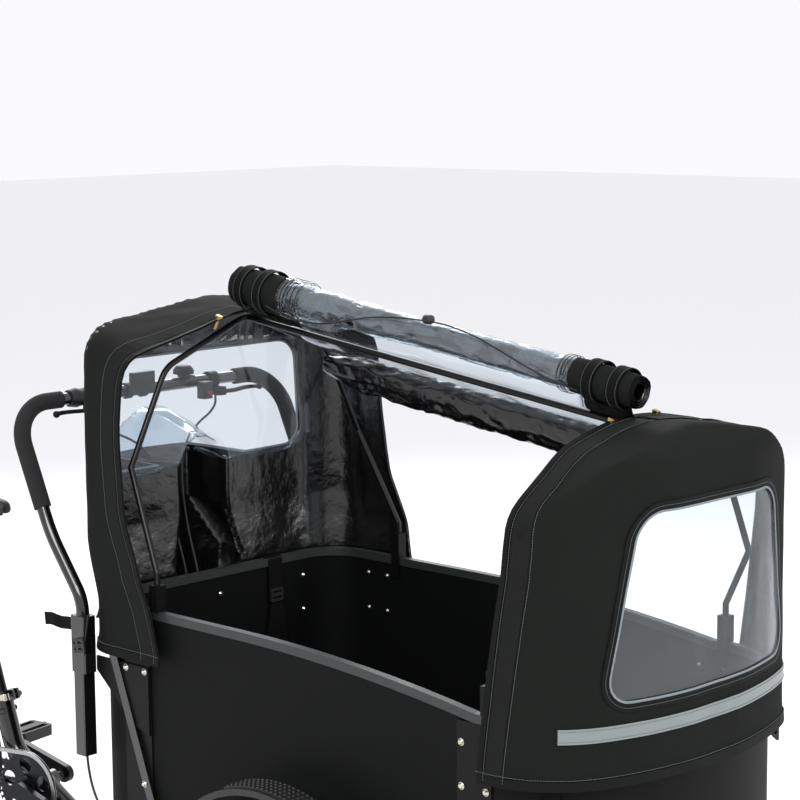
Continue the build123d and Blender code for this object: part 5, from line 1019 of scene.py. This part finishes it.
saddle_low, saddle_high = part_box("saddle")
saddle_middle = ((saddle_low + saddle_high) / 2 - PIVOT).dot(REAR_AHEAD) - 0.010
SADDLE_SHAPE = (
    (-0.124, 0.040, 0.018, 0.026), (-0.115, 0.066, 0.024, 0.040), (-0.082, 0.0775, 0.028, 0.0465), (
        -0.036, 0.065, 0.028, 0.042
    ),
    (0.015, 0.0375, 0.027, 0.0365), (0.070, 0.0225, 0.025, 0.0335), (0.115, 0.0195, 0.024, 0.0325), (0.138, 0.0165, 0.020, 0.028), (
        0.144, 0.010, 0.012, 0.019
    ),
)
SADDLE_SIDES = 20
saddle_points, saddle_faces = [], []
for ahead, half, side_tall, crown in SADDLE_SHAPE:
    for k in range(SADDLE_SIDES):
        turn = 2 * math.pi * k / SADDLE_SIDES
        across, rise = math.cos(turn), math.sin(turn)
        height = side_tall * 0.55 + (
            rise * (crown - side_tall * 0.55) if rise > 0 else rise * side_tall * 0.5
        )
        bulge = math.copysign(abs(across) ** 0.7, across) * half
        saddle_points.append(rear_point(saddle_middle + ahead, bulge, saddle_low.z + height))
for i in range(len(SADDLE_SHAPE) - 1):
    for k in range(SADDLE_SIDES):
        a, b = i * SADDLE_SIDES + k, i * SADDLE_SIDES + (k + 1) % SADDLE_SIDES
        saddle_faces.append((a, a + SADDLE_SIDES, b + SADDLE_SIDES, b))
last = (len(SADDLE_SHAPE) - 1) * SADDLE_SIDES
saddle_faces += [tuple(range(SADDLE_SIDES)), tuple(reversed(range(last, last + SADDLE_SIDES)))]
rough_saddle = bpy.data.meshes.new("saddle_rough")
rough_saddle.from_pydata([tuple(p) for p in saddle_points], [], saddle_faces)
rough = bpy.data.objects.new("saddle_rough", rough_saddle)
bpy.context.scene.collection.objects.link(rough)
rough.modifiers.new("round", "SUBSURF").levels = 2
bpy.context.view_layer.update()
saddle_mesh = bpy.data.meshes.new_from_object(rough.evaluated_get(bpy.context.evaluated_depsgraph_get()))
bpy.data.objects.remove(rough)
saddle_pad = bpy.data.objects.new("saddle_pad", saddle_mesh)
bpy.context.scene.collection.objects.link(saddle_pad)
saddle_mesh.materials.append(MAT["saddle_cover"])
saddle_mesh.shade_smooth()
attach(saddle_pad, "seat")
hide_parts("saddle")

# %% [markdown]
# ## Mudguard studs
# The pads carry a pattern of round studs. Geometry Nodes puts one stud on every point of a
# small patch that repeats the pad's curve.

# %% Studs
def stud_tree():
    """Geometry Nodes: one low cylinder on each vertex of a patch, standing along its normal."""
    tree = bpy.data.node_groups.new("studs_on_patch", "GeometryNodeTree")
    face = tree.interface
    face.new_socket("Geometry", in_out="INPUT", socket_type="NodeSocketGeometry")
    radius = face.new_socket("Stud radius", in_out="INPUT", socket_type="NodeSocketFloat")
    height = face.new_socket("Stud height", in_out="INPUT", socket_type="NodeSocketFloat")
    finish = face.new_socket("Stud material", in_out="INPUT", socket_type="NodeSocketMaterial")
    face.new_socket("Geometry", in_out="OUTPUT", socket_type="NodeSocketGeometry")
    source = tree.nodes.new("NodeGroupInput")
    normal = tree.nodes.new("GeometryNodeInputNormal")
    stand = add_node(
        tree, "FunctionNodeAlignRotationToVector", [(normal.outputs["Normal"], "Vector")], axis="Z"
    )
    shape = add_node(
        tree, "GeometryNodeMeshCone", [(source.outputs["Stud radius"], "Radius Bottom"), (source.outputs["Stud height"], "Depth")], Vertices=10
    )
    top = add_node(tree, "ShaderNodeMath", [(source.outputs["Stud radius"], 0)], operation="MULTIPLY")
    top.inputs[1].default_value = 0.7
    tree.links.new(top.outputs[0], shape.inputs["Radius Top"])
    placed = add_node(
        tree,
        "GeometryNodeInstanceOnPoints",
        [(source.outputs["Geometry"], "Points"), (shape.outputs["Mesh"], "Instance"), (stand.outputs["Rotation"], "Rotation")],
    )
    real = add_node(tree, "GeometryNodeRealizeInstances", [(placed.outputs["Instances"], "Geometry")])
    colour = add_node(
        tree, "GeometryNodeSetMaterial",
        [(real.outputs["Geometry"], "Geometry"), (source.outputs["Stud material"], "Material")]
    )
    out = tree.nodes.new("NodeGroupOutput")
    tree.links.new(colour.outputs["Geometry"], out.inputs["Geometry"])
    return tree, (radius.identifier, height.identifier, finish.identifier)


STUDS, STUD_IN = stud_tree()
AXLE_AT = Vector((BOX_X + 0.415, 0, 0.255))
PAD_RADIUS = 0.255 + 0.035 + 0.003 + 0.004
for side in (-1, 1):
    patch = [
        AXLE_AT + Vector(
            (math.cos(math.radians(a)) * PAD_RADIUS, side * 0.405 + y, math.sin(math.radians(a)) * PAD_RADIUS)
        )
        for a in [90 - 17.6 + 2.2 * k for k in range(17)]
        for y in (-0.022, -0.011, 0, 0.011, 0.022)
    ]
    guide_mesh = bpy.data.meshes.new("stud_patch")
    guide_mesh.from_pydata(
        [tuple(p) for p in patch], [], grid_faces(17, 5) if side < 0 else grid_faces(17, 5)
    )
    if guide_mesh.polygons[0].normal.z < 0:
        guide_mesh.flip_normals()
    guide = bpy.data.objects.new("stud_patch", guide_mesh)
    bpy.context.scene.collection.objects.link(guide)
    modifier = guide.modifiers.new("nodes", "NODES")
    modifier.node_group = STUDS
    for key, value in zip(STUD_IN, (0.0036, 0.0022, MAT["black_plastic"])):
        modifier[key] = value
    bpy.context.view_layer.update()
    stud_mesh = bpy.data.meshes.new_from_object(guide.evaluated_get(bpy.context.evaluated_depsgraph_get()))
    bpy.data.objects.remove(guide)
    studs = bpy.data.objects.new(f"mudguard_studs_{side + 1}", stud_mesh)
    bpy.context.scene.collection.objects.link(studs)
    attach(studs, "cargo_box")
print("studs on both mudguards")


# %% [markdown]
# ## Light, floor and camera
# A pale floor and backdrop with broad soft lamps: black cloth only shows its folds under
# long soft highlights.

# %% Stage
def area_lamp(name, place, aim, size, power):
    data = bpy.data.lights.new(name, "AREA")
    data.shape, data.size, data.size_y, data.energy = "RECTANGLE", size, size * 0.7, power
    lamp = bpy.data.objects.new(name, data)
    bpy.context.scene.collection.objects.link(lamp)
    lamp.location = place
    lamp.rotation_euler = (Vector(aim) - Vector(place)).to_track_quat("-Z", "Y").to_euler()
    return lamp


floor_mesh = bpy.data.meshes.new("floor")
floor_mesh.from_pydata([(-30, -30, 0), (30, -30, 0), (30, 30, 0), (-30, 30, 0)], [], [(0, 1, 2, 3)])
floor = bpy.data.objects.new("floor", floor_mesh)
bpy.context.scene.collection.objects.link(floor)
floor_mesh.materials.append(principled("floor_pale_matte", "F2F2F4", 0.7))
area_lamp("key", (2.6, -3.6, 4.2), (0.4, 0, 0.9), 3.2, 190)
area_lamp("left_fill", (-3.4, 2.6, 3.4), (0.2, 0, 0.8), 3.0, 120)
area_lamp("front_fill", (4.6, 2.0, 2.4), (0.6, 0, 0.9), 2.4, 70)
world = bpy.data.worlds.new("studio")
bpy.context.scene.world = world
world.use_nodes = True
world.node_tree.nodes["Background"].inputs["Color"].default_value = srgb("FBFBFD")
world.node_tree.nodes["Background"].inputs["Strength"].default_value = 1.0

CAMERA_AT = Vector((BOX_X + 3.2336, -3.0163, 1.7789))
AZIMUTH, ELEVATION, ROLL = (math.radians(a) for a in (46.26, 8.10, -0.51))
camera_data = bpy.data.cameras.new("camera")
camera_data.sensor_width, camera_data.lens = 36.0, 102.0
camera = bpy.data.objects.new("camera", camera_data)
bpy.context.scene.collection.objects.link(camera)
looking = Vector(
    (-math.cos(AZIMUTH) * math.cos(ELEVATION), math.sin(AZIMUTH) * math.cos(ELEVATION), -math.sin(ELEVATION))
)
turned = looking.to_track_quat("-Z", "Y").to_matrix() @ Matrix.Rotation(ROLL, 3, "Z")
camera.matrix_world = Matrix.Translation(CAMERA_AT) @ turned.to_4x4()
bpy.context.scene.camera = camera
bpy.context.scene.view_settings.view_transform = "Standard"
